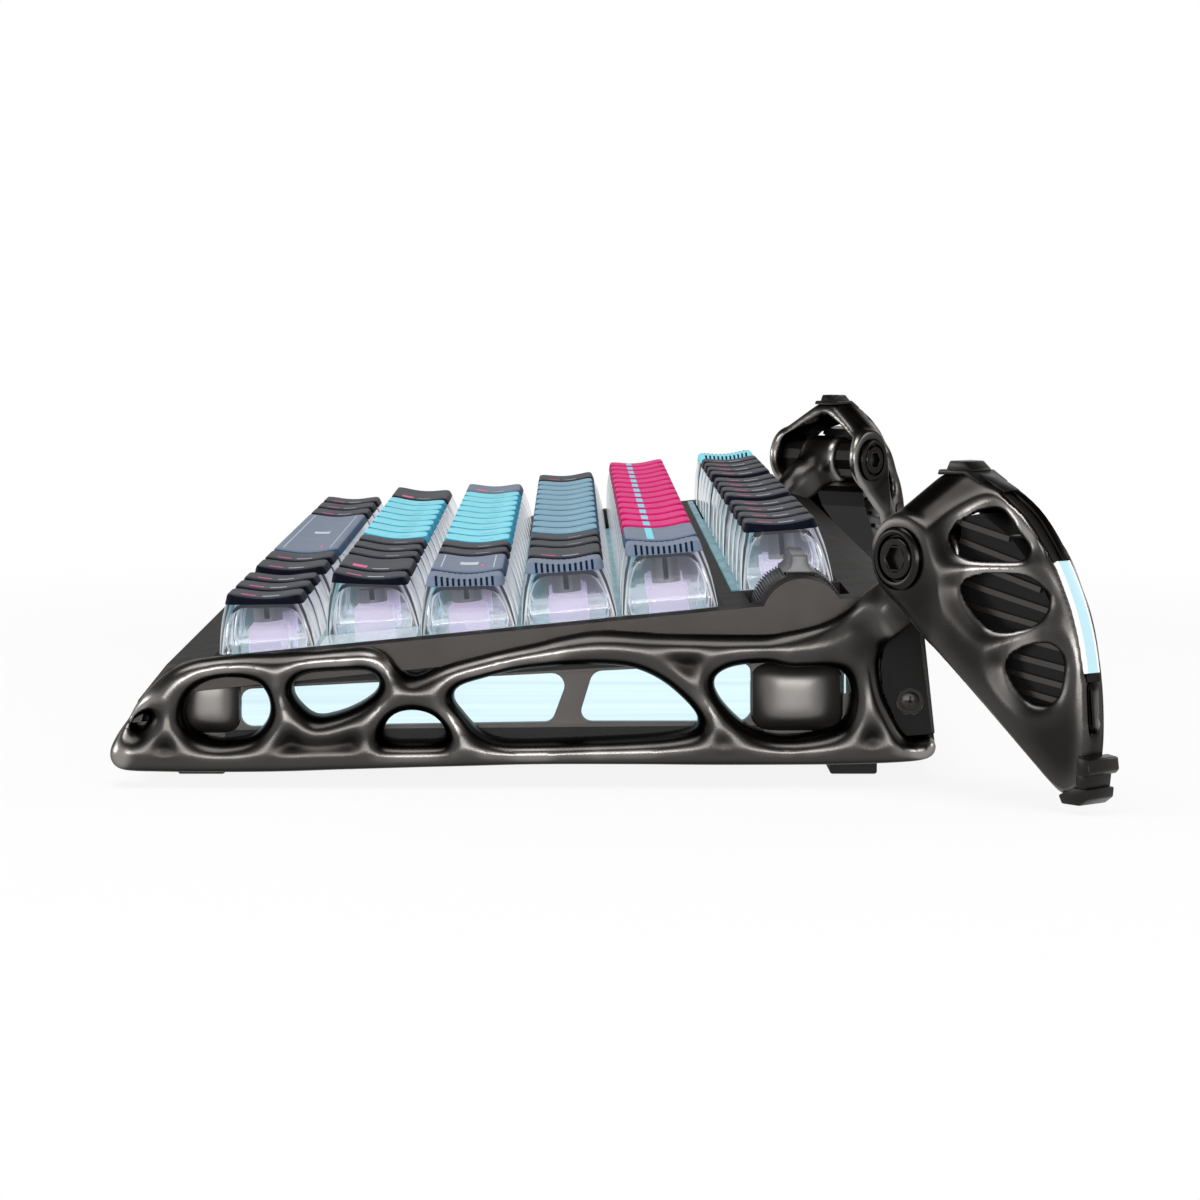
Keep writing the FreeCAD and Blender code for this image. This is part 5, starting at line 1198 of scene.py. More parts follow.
# %% The ribs
# Each rib is (its start at the inner edge, its end at the keel).
RIBS = [
    ((8.4, 6.6), (18.0, 4.0)),
    ((8.4, 3.4), (21.0, -0.6)),
    ((8.2, 0.2), (24.0, -4.8)),
    ((7.0, -3.6), (26.0, -8.6)),
    ((6.4, -7.4), (27.4, -12.0)),
    ((7.6, -11.2), (28.0, -15.0)),
    ((10.4, -15.2), (28.8, -18.6)),
    ((13.6, -18.8), (29.2, -21.8)),
    ((16.6, -22.2), (29.6, -24.8)),
    ((19.8, -25.8), (29.6, -27.8)),
]
RIB_HALF, RIB_RISE = 0.5, 0.7
for start, end in RIBS:
    a, b = Vector(start), Vector(end)
    side = Vector((a.y - b.y, b.x - a.x)).normalized() * RIB_HALF
    outline = [tuple(a - side), tuple(b - side), tuple(b + side), tuple(a + side)]
    core_parts.append(wedge("leg_fin", outline, RIB_RISE, "fin"))
core = settle(joined("leg_ribs_right", core_parts), "leg_right", "core", "leg_core_right")
settle(mirrored(core, "leg_ribs_left"), "leg_left", "core", "leg_core_left")

# %% [markdown]
# ## Hinge bolts
# A turned bolt holds each ear of a leg. Its head has a rounded rim, a groove and a raised disc with a hexagon
# socket. A boolean could cut the socket, but it leaves long thin faces. Here the turned profile leaves a round
# hole, and a ring of faces closes it down to the hexagon.

# %% The head, the socket and the shank
# Points of the head are (from the bolt's axis, above the ear).
BOLT_HEAD = [
    (0.01, 0.0), (5.3, 0.0), (5.75, 0.35), (5.75, 1.0), (5.35, 1.45), (4.9, 1.6), (4.35, 1.45), (4.2, 0.75),
    (3.95, 0.75), (3.85, 1.25), (3.6, 1.5), (2.55, 1.5), (2.35, 1.35), (2.3, 0.3), (0.01, 0.3),
]
SHANK_RADIUS = 2.5
SOCKET_RADIUS, SOCKET_RIM = 2.31, 2.6
SOCKET_TOP, SOCKET_FLOOR = 1.42, 0.32


def hexagon(radius, height):
    turns = [math.radians(60 * i) for i in range(6)]
    return [(radius * math.cos(a), radius * math.sin(a), height) for a in turns]


def hinge_bolt(name, side):
    """A bolt in an ear: side -1 is the ear that faces forward."""
    face = EAR_HALF + 0.1
    place = leg_place @ Matrix.Rotation(math.radians(90) * (1 if side < 0 else -1), 4, "X")
    head = turned(name, [(radius, face + rise) for radius, rise in BOLT_HEAD], place, "bolt", sides=72)
    vertices = hexagon(SOCKET_RADIUS, face + SOCKET_TOP) + hexagon(SOCKET_RIM, face + SOCKET_TOP)
    vertices += hexagon(SOCKET_RADIUS, face + SOCKET_FLOOR)
    faces = [(i, (i + 1) % 6, 6 + (i + 1) % 6, 6 + i) for i in range(6)]
    faces += [(12 + i, 12 + (i + 1) % 6, (i + 1) % 6, i) for i in range(6)] + [tuple(range(12, 18))]
    socket = new_piece(name + "_socket", vertices, faces, place, ["bolt_dark"], smooth=False)
    profile = [(0.01, 0.2), (SHANK_RADIUS, 0.2), (SHANK_RADIUS, face), (0.01, face)]
    shank = turned(name + "_shank", profile, place, "bolt", sides=32)
    return joined(name, [head, socket, shank])


near_bolt, far_bolt = hinge_bolt("hinge_bolt_front", -1), hinge_bolt("hinge_bolt_rear", 1)
bolts = joined("hinge_bolt_pair_right", [near_bolt, far_bolt])
settle(bolts, "case", "bolt", "hinge_bolts_right")
settle(mirrored(bolts, "hinge_bolt_pair_left"), "case", "bolt", "hinge_bolts_left")

# %% [markdown]
# ## The keys
# A key is a cap on a switch slider. Each cap has a clear skirt under an opaque top, and each row has a height and
# a lean of its own. Caps could be scaled from one cube with a bevel, but then wide keys get wide corners. Here a
# cap is built from rings of points, so that every width keeps the same corners, flanks and dish.

# %% Sizes of the caps
CAP_DEPTH = PITCH - CAP_GAP
CAP_LEAN = 2.25
CAP_DISH = 0.8
SHELL = 2.1
SKIRT_WALL = 1.0
FILLET = 0.9
SLIDER = 7.45
SLIDER_TOP = 4.1
# each row is (height of the front edge, height of the rear edge), over the deck
HEIGHTS = {
    "bottom": (11.3, 9.9),
    "shift": (12.0, 9.8),
    "home": (10.95, 9.6),
    "upper": (11.5, 11.0),
    "number": (13.0, 12.6),
    "function": (13.1, 12.75),
}
print("a cap is", round(CAP_DEPTH, 2), "mm deep, and the tallest stands", max(max(HEIGHTS.values())), "mm high")

# %% Every run of keys
# Each run is (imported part, row, first place, width, count, colour, print), with places and widths in key pitches.
KEYS = [
    ("key_escape", "function", 0, 1, 1, "cyan", "ribs"),
    ("keys_function_1_to_4", "function", 1.5, 1, 4, "dark", "marks"),
    ("keys_function_5_to_8", "function", 6, 1, 4, "dark", "marks"),
    ("keys_function_9_to_12", "function", 10.5, 1, 4, "dark", "marks"),
    ("keys_numbers", "number", 0, 1, 13, "magenta", "stripe"),
    ("key_backspace", "number", 13, 2, 1, "blue_grey", "stripe"),
    ("key_home", "number", 15, 1, 1, "blue_grey", "ribs"),
    ("key_tab", "upper", 0, 1.5, 1, "dark", "marks"),
    ("keys_upper_letters", "upper", 1.5, 1, 12, "teal", "letters"),
    ("key_backslash", "upper", 13.5, 1.5, 1, "dark", "marks"),
    ("key_page_up", "upper", 15, 1, 1, "blue_grey", "ribs"),
    ("key_caps_lock", "home", 0, 1.75, 1, "blue_grey", "marks"),
    ("keys_home_letters", "home", 1.75, 1, 11, "cyan", "letters"),
    ("key_enter", "home", 12.75, 2.25, 1, "blue_grey", "plain"),
    ("key_page_down", "home", 15, 1, 1, "blue_grey", "ribs"),
    ("key_left_shift", "shift", 0, 2.25, 1, "dark", "marks"),
    ("keys_lower_letters", "shift", 2.25, 1, 10, "cyan", "letters"),
    ("key_right_shift", "shift", 12.25, 1.75, 1, "dark", "marks"),
    ("key_arrow_up", "shift", 14, 1, 1, "dark", "marks"),
    ("keys_left_modifiers", "bottom", 0, 1.25, 3, "dark", "marks"),
    ("key_space", "bottom", 3.75, 6.25, 1, "blue_grey", "plain"),
    ("keys_right_modifiers", "bottom", 10, 1.25, 2, "dark", "marks"),
    ("keys_arrow_row", "bottom", 13, 1, 3, "dark", "marks"),
]
# the last keys of these runs are dark
DARK_TAIL = {"keys_upper_letters": 2, "keys_home_letters": 2, "keys_lower_letters": 3}
# each colour is (look of the top, look of the flanks with their painted shade, slot)
FINISHES = {
    "dark": ("dark_cap", "dark_side", "cap_dark"),
    "magenta": ("magenta_cap", "magenta_side", "cap_magenta"),
    "cyan": ("cyan_cap", "cyan_side", "cap_cyan"),
    "teal": ("teal_cap", "teal_side", "cap_teal"),
    "blue_grey": ("blue_grey_cap", "blue_side", "cap_blue_grey"),
}


# %% The form of a cap
def cap_surface(row, y, share, dish=1.0):
    """Height over the deck of a point in the cap, a share of the way up, at y from its middle."""
    front, back = HEIGHTS[row]
    top_half = CAP_DEPTH / 2 - CAP_LEAN
    s = min(max((y + top_half) / (2 * top_half), 0.0), 1.0)
    bowl = CAP_DISH * math.sin(math.pi * s) ** 1.3 * dish
    return (front + (back - front) * s) * share - bowl


def flank_inset(share):
    """How far a flank leans in, a share of the way up; the flanks swell a little."""
    return CAP_LEAN * (share - 0.16 * math.sin(math.pi * share))


# %% A ring of points
ALONG_X, ALONG_Y, TURNS = 4, 10, 5


def ring_points(half_x, half_y, corner):
    """Points of a rounded rectangle, with more of them along its depth."""
    points = []
    corners = [(1, -1, -90), (1, 1, 0), (-1, 1, 90), (-1, -1, 180)]
    for index, (sx, sy, start) in enumerate(corners):
        cx, cy = sx * (half_x - corner), sy * (half_y - corner)
        for step in range(TURNS + 1):
            a = math.radians(start + 90 * step / TURNS)
            points.append((cx + corner * math.cos(a), cy + corner * math.sin(a)))
        nx, ny, _ = corners[(index + 1) % 4]
        a = math.radians(start + 90)
        here = points[-1]
        there = (nx * (half_x - corner) + corner * math.cos(a), ny * (half_y - corner) + corner * math.sin(a))
        steps = ALONG_Y if index % 2 == 0 else ALONG_X
        for step in range(1, steps):
            t = step / steps
            points.append((here[0] + (there[0] - here[0]) * t, here[1] + (there[1] - here[1]) * t))
    return points


def corner_marks():
    """For each point of a ring, how much it belongs to a rounded corner."""
    turns = [math.sin(math.pi * step / TURNS) for step in range(TURNS + 1)]
    marks = []
    for steps in (ALONG_Y, ALONG_X, ALONG_Y, ALONG_X):
        marks += turns + [0.0] * (steps - 1)
    return marks


# %% Rings and the skins between them
SKIRT, TOP, FLANK, INSIDE = range(4)


class CapRings:
    """The mesh of one cap, which grows ring by ring."""

    def __init__(self, row, width):
        self.row = row
        self.half_x, self.half_y = (width * PITCH - CAP_GAP) / 2, CAP_DEPTH / 2
        self.shell_share = 1 - SHELL / HEIGHTS[row][0]
        self.vertices, self.faces, self.kinds, self.rise, self.corner = [], [], [], [], []

    def ring(self, points, heights, rise):
        start = len(self.vertices)
        self.vertices.extend((x, y, z) for (x, y), z in zip(points, heights))
        self.rise.extend([rise] * len(points))
        self.corner.extend(corner_marks())
        return range(start, start + len(points))

    def skin(self, lower, upper, kind, inside=False):
        for a, b, c, d in zip(lower, [*lower[1:], lower[0]], [*upper[1:], upper[0]], upper):
            self.faces.append((d, c, b, a) if inside else (a, b, c, d))
            self.kinds.append(kind)

    def lid(self, ring, kind, inside=False):
        self.faces.append(tuple(ring)[::-1] if inside else tuple(ring))
        self.kinds.append(kind)


# %% [markdown]
# ### The four parts of a cap
# From below, a cap is the clear skirt and the flanks, then a rounded edge, then the dished top, and last the
# clear inside, which arches over to the underside of the opaque shell. One skin for each keeps their finishes
# apart. Between the skirt and the shell a fine groove catches a shadow, as on the real cap.

# %% Skirt and flanks
SEAM, SEAM_HALF, SEAM_DEPTH = 5, 0.006, 0.10


def cap_flanks(cap):
    shares = [0.0, 0.02, 0.2, 0.4, 0.6, cap.shell_share - SEAM_HALF, cap.shell_share + SEAM_HALF, 0.9]
    previous = None
    for index, share in enumerate(shares):
        inset = flank_inset(share) + (0.15 if share == 0.0 else 0)
        groove = SEAM_DEPTH if index == SEAM else 0.0
        points = ring_points(cap.half_x - inset - groove, cap.half_y - inset - groove, 0.9 + 1.5 * share)
        heights = [cap_surface(cap.row, y, share, dish=max(0, share - 0.8) * 2.5) for _, y in points]
        ring = cap.ring(points, heights, min(1.0, share / cap.shell_share))
        if previous:
            cap.skin(previous, ring, SKIRT if index <= SEAM else FLANK)
        previous = ring
    return previous


# %% Rounded edge and dished top
EDGE_ANGLES = (20, 42, 66, 90)
EDGE_SHARE = 0.93


def cap_edge(cap, previous):
    for angle in EDGE_ANGLES:
        a = math.radians(angle)
        inset = flank_inset(EDGE_SHARE) + FILLET * (1 - math.cos(a))
        points = ring_points(cap.half_x - inset, cap.half_y - inset, 2.3)
        drop = FILLET * (1 - math.sin(a))
        heights = [cap_surface(cap.row, y, 1.0, dish=0.8 + 0.2 * math.sin(a)) - drop for _, y in points]
        ring = cap.ring(points, heights, 1.0)
        cap.skin(previous, ring, TOP if angle > 50 else FLANK)
        previous = ring
    return previous


def cap_top(cap, previous):
    inset = flank_inset(EDGE_SHARE) + FILLET
    top_x, top_y = cap.half_x - inset, cap.half_y - inset
    for share in (0.9, 0.75, 0.55, 0.3, 0.08):
        px, py = top_x - top_y * (1 - share), top_y * share
        if top_x < top_y + 1:
            px = top_x * share
        points = ring_points(px, py, min(2.3 * share + 0.1, px * 0.9, py * 0.9))
        ring = cap.ring(points, [cap_surface(cap.row, y, 1.0) for _, y in points], 1.0)
        cap.skin(previous, ring, TOP)
        previous = ring
    cap.lid(previous, TOP)


# %% Inside
def cap_inside(cap):
    """Clear walls that arch over up to the shell's underside."""
    ceiling = cap.shell_share * 0.985
    points = ring_points(cap.half_x - 1.25, cap.half_y - 1.25, 1.0)
    foot = cap.ring(points, [0.02] * len(points), 0.0)
    cap.skin(range(len(points)), foot, INSIDE, inside=True)
    for share in (0.2, 0.4, 0.6, 0.8, 0.93, 1.0):
        arch = share**6
        inner = flank_inset(ceiling * share) + SKIRT_WALL + 2.4 * (1 - math.sqrt(max(0.0, 1 - arch)))
        points = ring_points(cap.half_x - inner, cap.half_y - inner, 0.3 + 0.6 * share + arch)
        heights = [cap_surface(cap.row, y, ceiling * share, dish=0) - 0.05 for _, y in points]
        roof = cap.ring(points, heights, share)
        cap.skin(foot, roof, INSIDE, inside=True)
        foot = roof
    cap.lid(foot, FLANK, inside=True)


# %% A whole cap
def make_cap(name, row, width, top_look, side_look):
    """One cap around the deck's origin, its clear skirt below the opaque shell."""
    cap = CapRings(row, width)
    cap_top(cap, cap_edge(cap, cap_flanks(cap)))
    cap_inside(cap)
    marks = {"rise": cap.rise, "corner": cap.corner, "side": [0.5 + 0.5 * y / cap.half_y for _, y, _ in cap.vertices]}
    wears = ["skirt", top_look, side_look, "skirt_inside"]
    piece = new_piece(name, cap.vertices, cap.faces, Matrix(), wears, cap.kinds, **marks)
    sharpen(piece, 38.0)
    return piece


# %% [markdown]
# ### Prints and knurled flanks
# Some caps carry a plain printed bar, line or field. A print could be an image, but a thin patch that follows the
# dish stays sharp from any distance and needs no file. The keys of the outer column also have fine ribs that run
# down their flanks and over the edge. Each rib is a small piece of its own that follows the same flank.

# %% A print on the dish
def surface_patch(name, row, x0, x1, y0, y1, look, lift=0.03):
    """A thin print that follows the dished top."""
    nx, ny = 2, max(2, int(abs(y1 - y0) / 0.8) + 1)
    vertices, faces = [], []
    for j in range(ny + 1):
        y = y0 + (y1 - y0) * j / ny
        for i in range(nx + 1):
            vertices.append((x0 + (x1 - x0) * i / nx, y, cap_surface(row, y, 1.0) + lift))
    for j in range(ny):
        for i in range(nx):
            a = j * (nx + 1) + i
            faces.append((a, a + 1, a + nx + 2, a + nx + 1))
    return new_piece(name, vertices, faces, Matrix(), [look])


def prints(name, row, width, style, ink):
    """The prints of a key: each is (part of its name, from x, to x, from y, to y, look)."""
    right = (width * PITCH - CAP_GAP) / 2 - CAP_LEAN - FILLET
    if style == "stripe":
        middle = -(CAP_DEPTH / 2 - CAP_LEAN - FILLET) / 3
        places = [("stripe", -right, right, middle - 0.7, middle + 0.7, "ink_cyan")]
    elif style == "letters":
        places = [("bar", right - 2.2, right - 1.5, 0.6, 3.4, ink)]
    elif style == "marks":
        long = 5.5 if width > 1.6 else 1.5
        places = [
            ("bar", right - 2.6, right - 1.4, -0.4, 2.8, ink),
            ("dash", right - 1.6 - long, right - 1.6, -4.4, -1.6, "ink_pink"),
        ]
    elif style == "plain":
        places = [
            ("line", -right + 3, right - 3, -5.2, -5.0, ink),
            ("line", -right + 3, right - 3, 5.0, 5.2, ink),
            ("field", -3.2, 3.2, -1.8, 1.8, ink),
            ("dash", right - 14.0, right - 9.0, 2.4, 3.0, "ink_pink"),
        ]
    else:
        places = []
    return [surface_patch(f"{name}_{kind}", row, *place) for kind, *place in places]


# %% Ribs down the flanks
# the dark pieces stand for the slots between the ribs, black as painted shade
CAP_RIBS, CAP_RIB_STEP, CAP_RIB_HALF = 11, 1.06, 0.23


def rib_levels(row, width, y):
    """Points up one flank and over its edge, as (from the cap's middle, over the deck)."""
    outer = (width * PITCH - CAP_GAP) / 2 + 0.06
    low = 1 - (SHELL - 0.12) / HEIGHTS[row][0]
    levels = [
        (outer - flank_inset(low), cap_surface(row, y, low, dish=(low - 0.8) * 2.5)),
        (outer - flank_inset(0.9), cap_surface(row, y, 0.9, dish=0.25)),
    ]
    for angle in EDGE_ANGLES:
        rise, run = math.sin(math.radians(angle)), math.cos(math.radians(angle))
        top = cap_surface(row, y, 1.0, dish=0.8 + 0.2 * rise) + 0.05
        levels.append((outer - flank_inset(EDGE_SHARE) - FILLET * (1 - run), top - FILLET * (1 - rise)))
    levels.append((levels[-1][0] - 0.8, levels[-1][1]))
    return levels


def cap_rib(name, row, width, side, y):
    levels = rib_levels(row, width, y)
    vertices = []
    for x, z in levels:
        for dx, dz in ((-0.4, -0.3), (0, 0)):
            vertices += [(side * (x + dx), y + dy, z + dz) for dy in (-CAP_RIB_HALF, CAP_RIB_HALF)]
    last = 4 * len(levels) - 4
    quads = [(0, 2, 3, 1), (last, last + 1, last + 3, last + 2)]
    for a in range(0, last, 4):
        quads += [(a, a + 1, a + 5, a + 4), (a + 1, a + 3, a + 7, a + 5), (a + 3, a + 2, a + 6, a + 7)]
        quads.append((a + 2, a, a + 4, a + 6))
    return outward(new_piece(name, vertices, quads, Matrix(), ["slot_dark"], smooth=False))


# %% [markdown]
# ### The switch slider
# Under each cap stands the slider of its switch: a square block with a collar and a post, and wide keys rest on
# two more stems. The clear skirt shows all of it. A box could be enough from afar, but the round collar and post
# give the lit skirt its depth, so they are turned from two short profiles.

# %% A slider with its post
COLLAR_RADIUS, COLLAR_HEIGHT = 3.1, 0.7
POST_RADIUS = 2.75
STEM_WIDTH = 4.4


def make_slider(name, row, reaches):
    """A slider with its bevelled top, the post on it, and the stems of a wide key."""
    ceiling = HEIGHTS[row][1] - SHELL - 0.3
    low = SLIDER_TOP + COLLAR_HEIGHT
    collar = [(0.01, SLIDER_TOP), (COLLAR_RADIUS, SLIDER_TOP), (COLLAR_RADIUS, low - 0.2), (2.8, low), (0.01, low)]
    post = [(0.01, low), (2.72, low), (POST_RADIUS, low + 0.2), (POST_RADIUS, ceiling), (0.01, ceiling)]
    # the slit in the post is a black box, as painted shade
    slit_size, slit_middle = (5.6, 1.0, ceiling - low - 0.6), (0, 0, (ceiling + low) / 2 + 0.3)
    parts = [
        # the block and the collar glow by themselves: painted light from the lamp under the key
        box(name + "_block", (SLIDER, SLIDER, 6.5), (0, 0, SLIDER_TOP - 3.25), Matrix(), "lilac", 0.35, 3),
        turned(name + "_collar", collar, Matrix(), "lilac", 40),
        turned(name + "_post", post, Matrix(), "post", 40),
        box(name + "_slit", slit_size, slit_middle, Matrix(), "slot_dark", 0.05, 1),
    ]
    for reach in reaches:
        stem_size = (STEM_WIDTH, STEM_WIDTH, ceiling)
        parts.append(box(name + "_stem", stem_size, (reach, 0, ceiling / 2), Matrix(), "post", 0.3, 2))
    return joined(name + "_slider", parts)


# %% A whole key
def stem_reaches(width):
    """How far the stems of a wide key stand from its middle."""
    if width < 2:
        return []
    return [-11.95, 11.95] if width < 5 else [-50.0, 50.0]


def make_key(name, row, width, finish, style):
    """A whole key at the deck's origin."""
    top_look, side_look, _ = FINISHES[finish]
    if style == "ribs":
        side_look = top_look
    parts = [make_cap(name, row, width, top_look, side_look), make_slider(name, row, stem_reaches(width))]
    parts += prints(name, row, width, style, "ink_dark" if finish == "cyan" else "ink_pale")
    if style == "ribs":
        for side in (-1, 1):
            for index in range(CAP_RIBS):
                y = (index - CAP_RIBS // 2) * CAP_RIB_STEP
                parts.append(cap_rib(name + "_rib", row, width, side, y))
    return joined(name, parts)


# %% Every key in its place
def key_run(name, row, first, width, count, finish, style):
    """Some equal keys in one row, on the deck; the first place and the width are in pitches."""
    key = make_key(name, row, width, finish, style)
    start = (first + width / 2) * PITCH - FIELD_HALF
    place = deck_place @ Matrix.Translation((start, ROWS[row] * PITCH, 0))
    if count > 1:
        step = (width * PITCH, 0.0, 0.0)
        return repeated(key, row_tree, place, Count=count, Step=step, Finish=looks["skirt"])
    key.data.transform(place)
    return key


for name, row, first, width, count, finish, style in KEYS:
    tail = DARK_TAIL.get(name, 0)
    pieces = [key_run("dressed_" + name, row, first, width, count - tail, finish, style)]
    if tail:
        dark_first = first + (count - tail) * width
        pieces.append(key_run("dressed_" + name, row, dark_first, width, tail, "dark", style))
    whole = joined("dressed_" + name, pieces) if tail else pieces[0]
    whole.name = "dressed_" + name
    settle(whole, name + "_press", FINISHES[finish][2], name)

# %% [markdown]
# ## The thumb roller
# A small wheel looks out of the arch beside the function row. Its rim is knurled, and a flared tab takes the
# thumb. A bump texture could stand for the knurl, but the rim is seen in profile. So one tooth is modelled, and
# the node tree sets it around the rim.

# %% Where the roller lies
ROLLER_PLACE = millimetres @ Matrix.Translation((0, HOME_Y + 43.6, 30.6)) @ Matrix.Rotation(math.radians(90), 4, "Y")
low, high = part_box("thumb_roller")
ROLLER_START = low[0] / MM
ROLLER_LENGTH = (high[0] - low[0]) / MM
ROLLER_END = ROLLER_START + ROLLER_LENGTH
print("the roller is", round(ROLLER_LENGTH, 2), "mm long")

# %% Drum, teeth and tab
# Points of the drum are (from its axis, along it).
drum = [
    (2.2, ROLLER_START), (7.4, ROLLER_START), (8.0, ROLLER_START + 0.5), (8.0, ROLLER_END - 0.5),
    (7.4, ROLLER_END), (5.0, ROLLER_END), (4.6, ROLLER_END - 0.8), (2.2, ROLLER_END - 0.8),
]
TEETH, TEETH_RADIUS = 84, 8.05
ROLLER_TAB = [
    (-8.0, -3.3), (-8.6, -2.4), (-9.3, -1.75), (-10.4, -1.5), (-11.3, -1.45),
    (-11.3, 1.45), (-10.4, 1.5), (-9.3, 1.75), (-8.6, 2.4), (-8.0, 3.3),
]
tooth = box("roller_tooth", (0.75, 0.34, ROLLER_LENGTH - 1.0), (0, 0, 0), millimetres, "roller", 0.1, 2)
# the tree works in metres, and the place in millimetres
teeth_place = ROLLER_PLACE @ Matrix.Translation((0, 0, ROLLER_START + ROLLER_LENGTH / 2)) @ Matrix.Scale(1000, 4)
rim = {"Count": TEETH, "Radius": TEETH_RADIUS * MM, "Finish": looks["roller"]}
roller_parts = [
    turned("roller_drum", drum, ROLLER_PLACE, "roller", 96),
    repeated(tooth, rim_tree, teeth_place, **rim),
    prism("roller_tab", ROLLER_TAB, ROLLER_START, ROLLER_END, ROLLER_PLACE, "roller_tab", 0.25),
]
settle(joined("dressed_roller", roller_parts), "roller", "roller", "thumb_roller")

# %% [markdown]
# ## The cover and the case
# The cover is a moulded plate with wells for the keys, and the case is a tray under it. Both keep their packed
# form with rounded edges. Only the lip at the front is drawn in behind the nose of the side frames. Rounded edges
# bend the light on flat faces, so the faces get to keep their own normals.

# %% The cover
LIP_START, LIP_SHARE = -76.0, 0.72


def drawn_in(piece):
    """Pulls the lip at the front in behind the nose of the side frames."""
    for vertex in piece.data.vertices:
        home = vertex.co.y / MM - HOME_Y
        if home < LIP_START:
            vertex.co.y = (HOME_Y + LIP_START + (home - LIP_START) * LIP_SHARE) * MM
    return piece


def evened(piece):
    """Lets the large flat faces keep their own normals, so that they look flat beside their rounded edges."""
    step = piece.modifiers.new("normals", "WEIGHTED_NORMAL")
    step.keep_sharp = True
    flatten_modifiers(piece)
    return piece


settle(evened(drawn_in(softened("top_cover", "dressed_cover", "cover", 0.45, 3))), "case", "cover", "top_cover")


# %% [markdown]
# ### The sides of the case
# Behind each side frame stands a plate with two windows, and two blocks swell out of it. Windows could be cut
# with booleans. Filling the space between an outline and its holes gives the same plate without leftovers. The
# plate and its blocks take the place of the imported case's plain ends.

# %% A flat plate with holes
def plate_mesh(outline, holes, thick):
    """The space between an outline and its holes, filled and given a thickness."""
    mesh = bmesh.new()
    for loop in [outline, *holes]:
        ring = [mesh.verts.new((x, y, thick / 2)) for x, y in loop]
        for a, b in zip(ring, ring[1:] + ring[:1]):
            mesh.edges.new((a, b))
    bmesh.ops.triangle_fill(mesh, use_beauty=True, use_dissolve=False, edges=mesh.edges[:], normal=(0, 0, 1))
    grown = bmesh.ops.extrude_face_region(mesh, geom=mesh.faces[:], use_keep_orig=True)
    moved = [item for item in grown["geom"] if isinstance(item, bmesh.types.BMVert)]
    bmesh.ops.translate(mesh, verts=moved, vec=(0, 0, -thick))
    return mesh


def filled(name, outline, holes, thick, place, look, bevel):
    """A flat plate with holes and rounded edges."""
    mesh = plate_mesh(outline, holes, thick)
    data = bpy.data.meshes.new(name)
    mesh.to_mesh(data)
    mesh.free()
    data.materials.append(looks[look])
    piece = bpy.data.objects.new(name, data)
    scene.collection.objects.link(piece)
    outward(piece)
    edge = piece.modifiers.new("edges", "BEVEL")
    edge.width = bevel
    edge.segments = 2
    edge.limit_method = "ANGLE"
    edge.angle_limit = math.radians(50)
    flatten_modifiers(piece)
    piece.data.transform(place)
    sharpen(piece, 40.0)
    return piece


# %% A block that swells out of the side
# turns points (from the home line, above the desk) into the plane of the right end
FACING_RIGHT = Matrix(((0, 0, 1, 0), (1, 0, 0, 0), (0, 1, 0, 0), (0, 0, 0, 1)))


def side_place(x):
    """The plane of the right end at x, in which points are (from the home line, above the desk)."""
    return millimetres @ Matrix.Translation((x, HOME_Y, 0)) @ FACING_RIGHT


def bulge(name, y0, y1, z0, z1, rise, look):
    """A block that swells out of the case's side."""
    steps_y, steps_z = 28, 16
    vertices, faces = [], []
    for j in range(steps_z + 1):
        v = 2 * j / steps_z - 1
        for i in range(steps_y + 1):
            u = 2 * i / steps_y - 1
            swell = (1 - abs(u) ** 2.4) * (1 - abs(v) ** 5)
            across, up = u * (1 - 0.14 * v**6), v * (1 - 0.14 * u**6)
            y, z = (y0 + y1) / 2 + across * (y1 - y0) / 2, (z0 + z1) / 2 + up * (z1 - z0) / 2
            vertices.append((y, z, rise * swell))
    row = steps_y + 1
    for j in range(steps_z):
        for i in range(steps_y):
            a = j * row + i
            faces.append((a, a + 1, a + row + 1, a + row))
    rim = list(range(row)) + [j * row + steps_y for j in range(1, steps_z + 1)]
    rim += [steps_z * row + i for i in range(steps_y - 1, -1, -1)] + [j * row for j in range(steps_z - 1, 0, -1)]
    back = len(vertices)
    vertices += [(vertices[i][0], vertices[i][1], -2.0) for i in rim]
    count = len(rim)
    faces += [(rim[(k + 1) % count], rim[k], back + k, back + (k + 1) % count) for k in range(count)]
    faces.append(tuple(range(back, back + count)))
    return outward(new_piece(name, vertices, faces, side_place(155.5), [look]))


# %% The side plate with its windows
CASE_SIDE = [
    (-81.2, 6.8), (-81.2, 11.4), (-69.0, 11.4), (-65.0, 18.0), (59.4, 30.2), (61.8, 30.2), (61.8, 3.7), (-79.2, 3.7),
]
# each corner of a window is (its place, its rounding)
WINDOWS = [
    [((-61.6, 17.3), 2.2), ((0.2, 20.5), 2.4), ((-3.3, 11.1), 2.0), ((-61.6, 10.2), 2.2)],
    [((4.4, 20.7), 2.4), ((33.9, 22.2), 1.6), ((34.2, 11.2), 2.6), ((1.5, 11.2), 2.0)],
]
# black strips of painted shade along the windows, where the frame shades the plate
SHADE_STRIPS = [
    [(-64.5, 6.9), (36.5, 8.0), (36.5, 10.6), (-64.5, 9.7)],
    [(-64.6, 17.6), (36.5, 22.9), (36.5, 28.0), (-62.0, 18.3)],
]
windows = [rounded_outline(window) for window in WINDOWS]
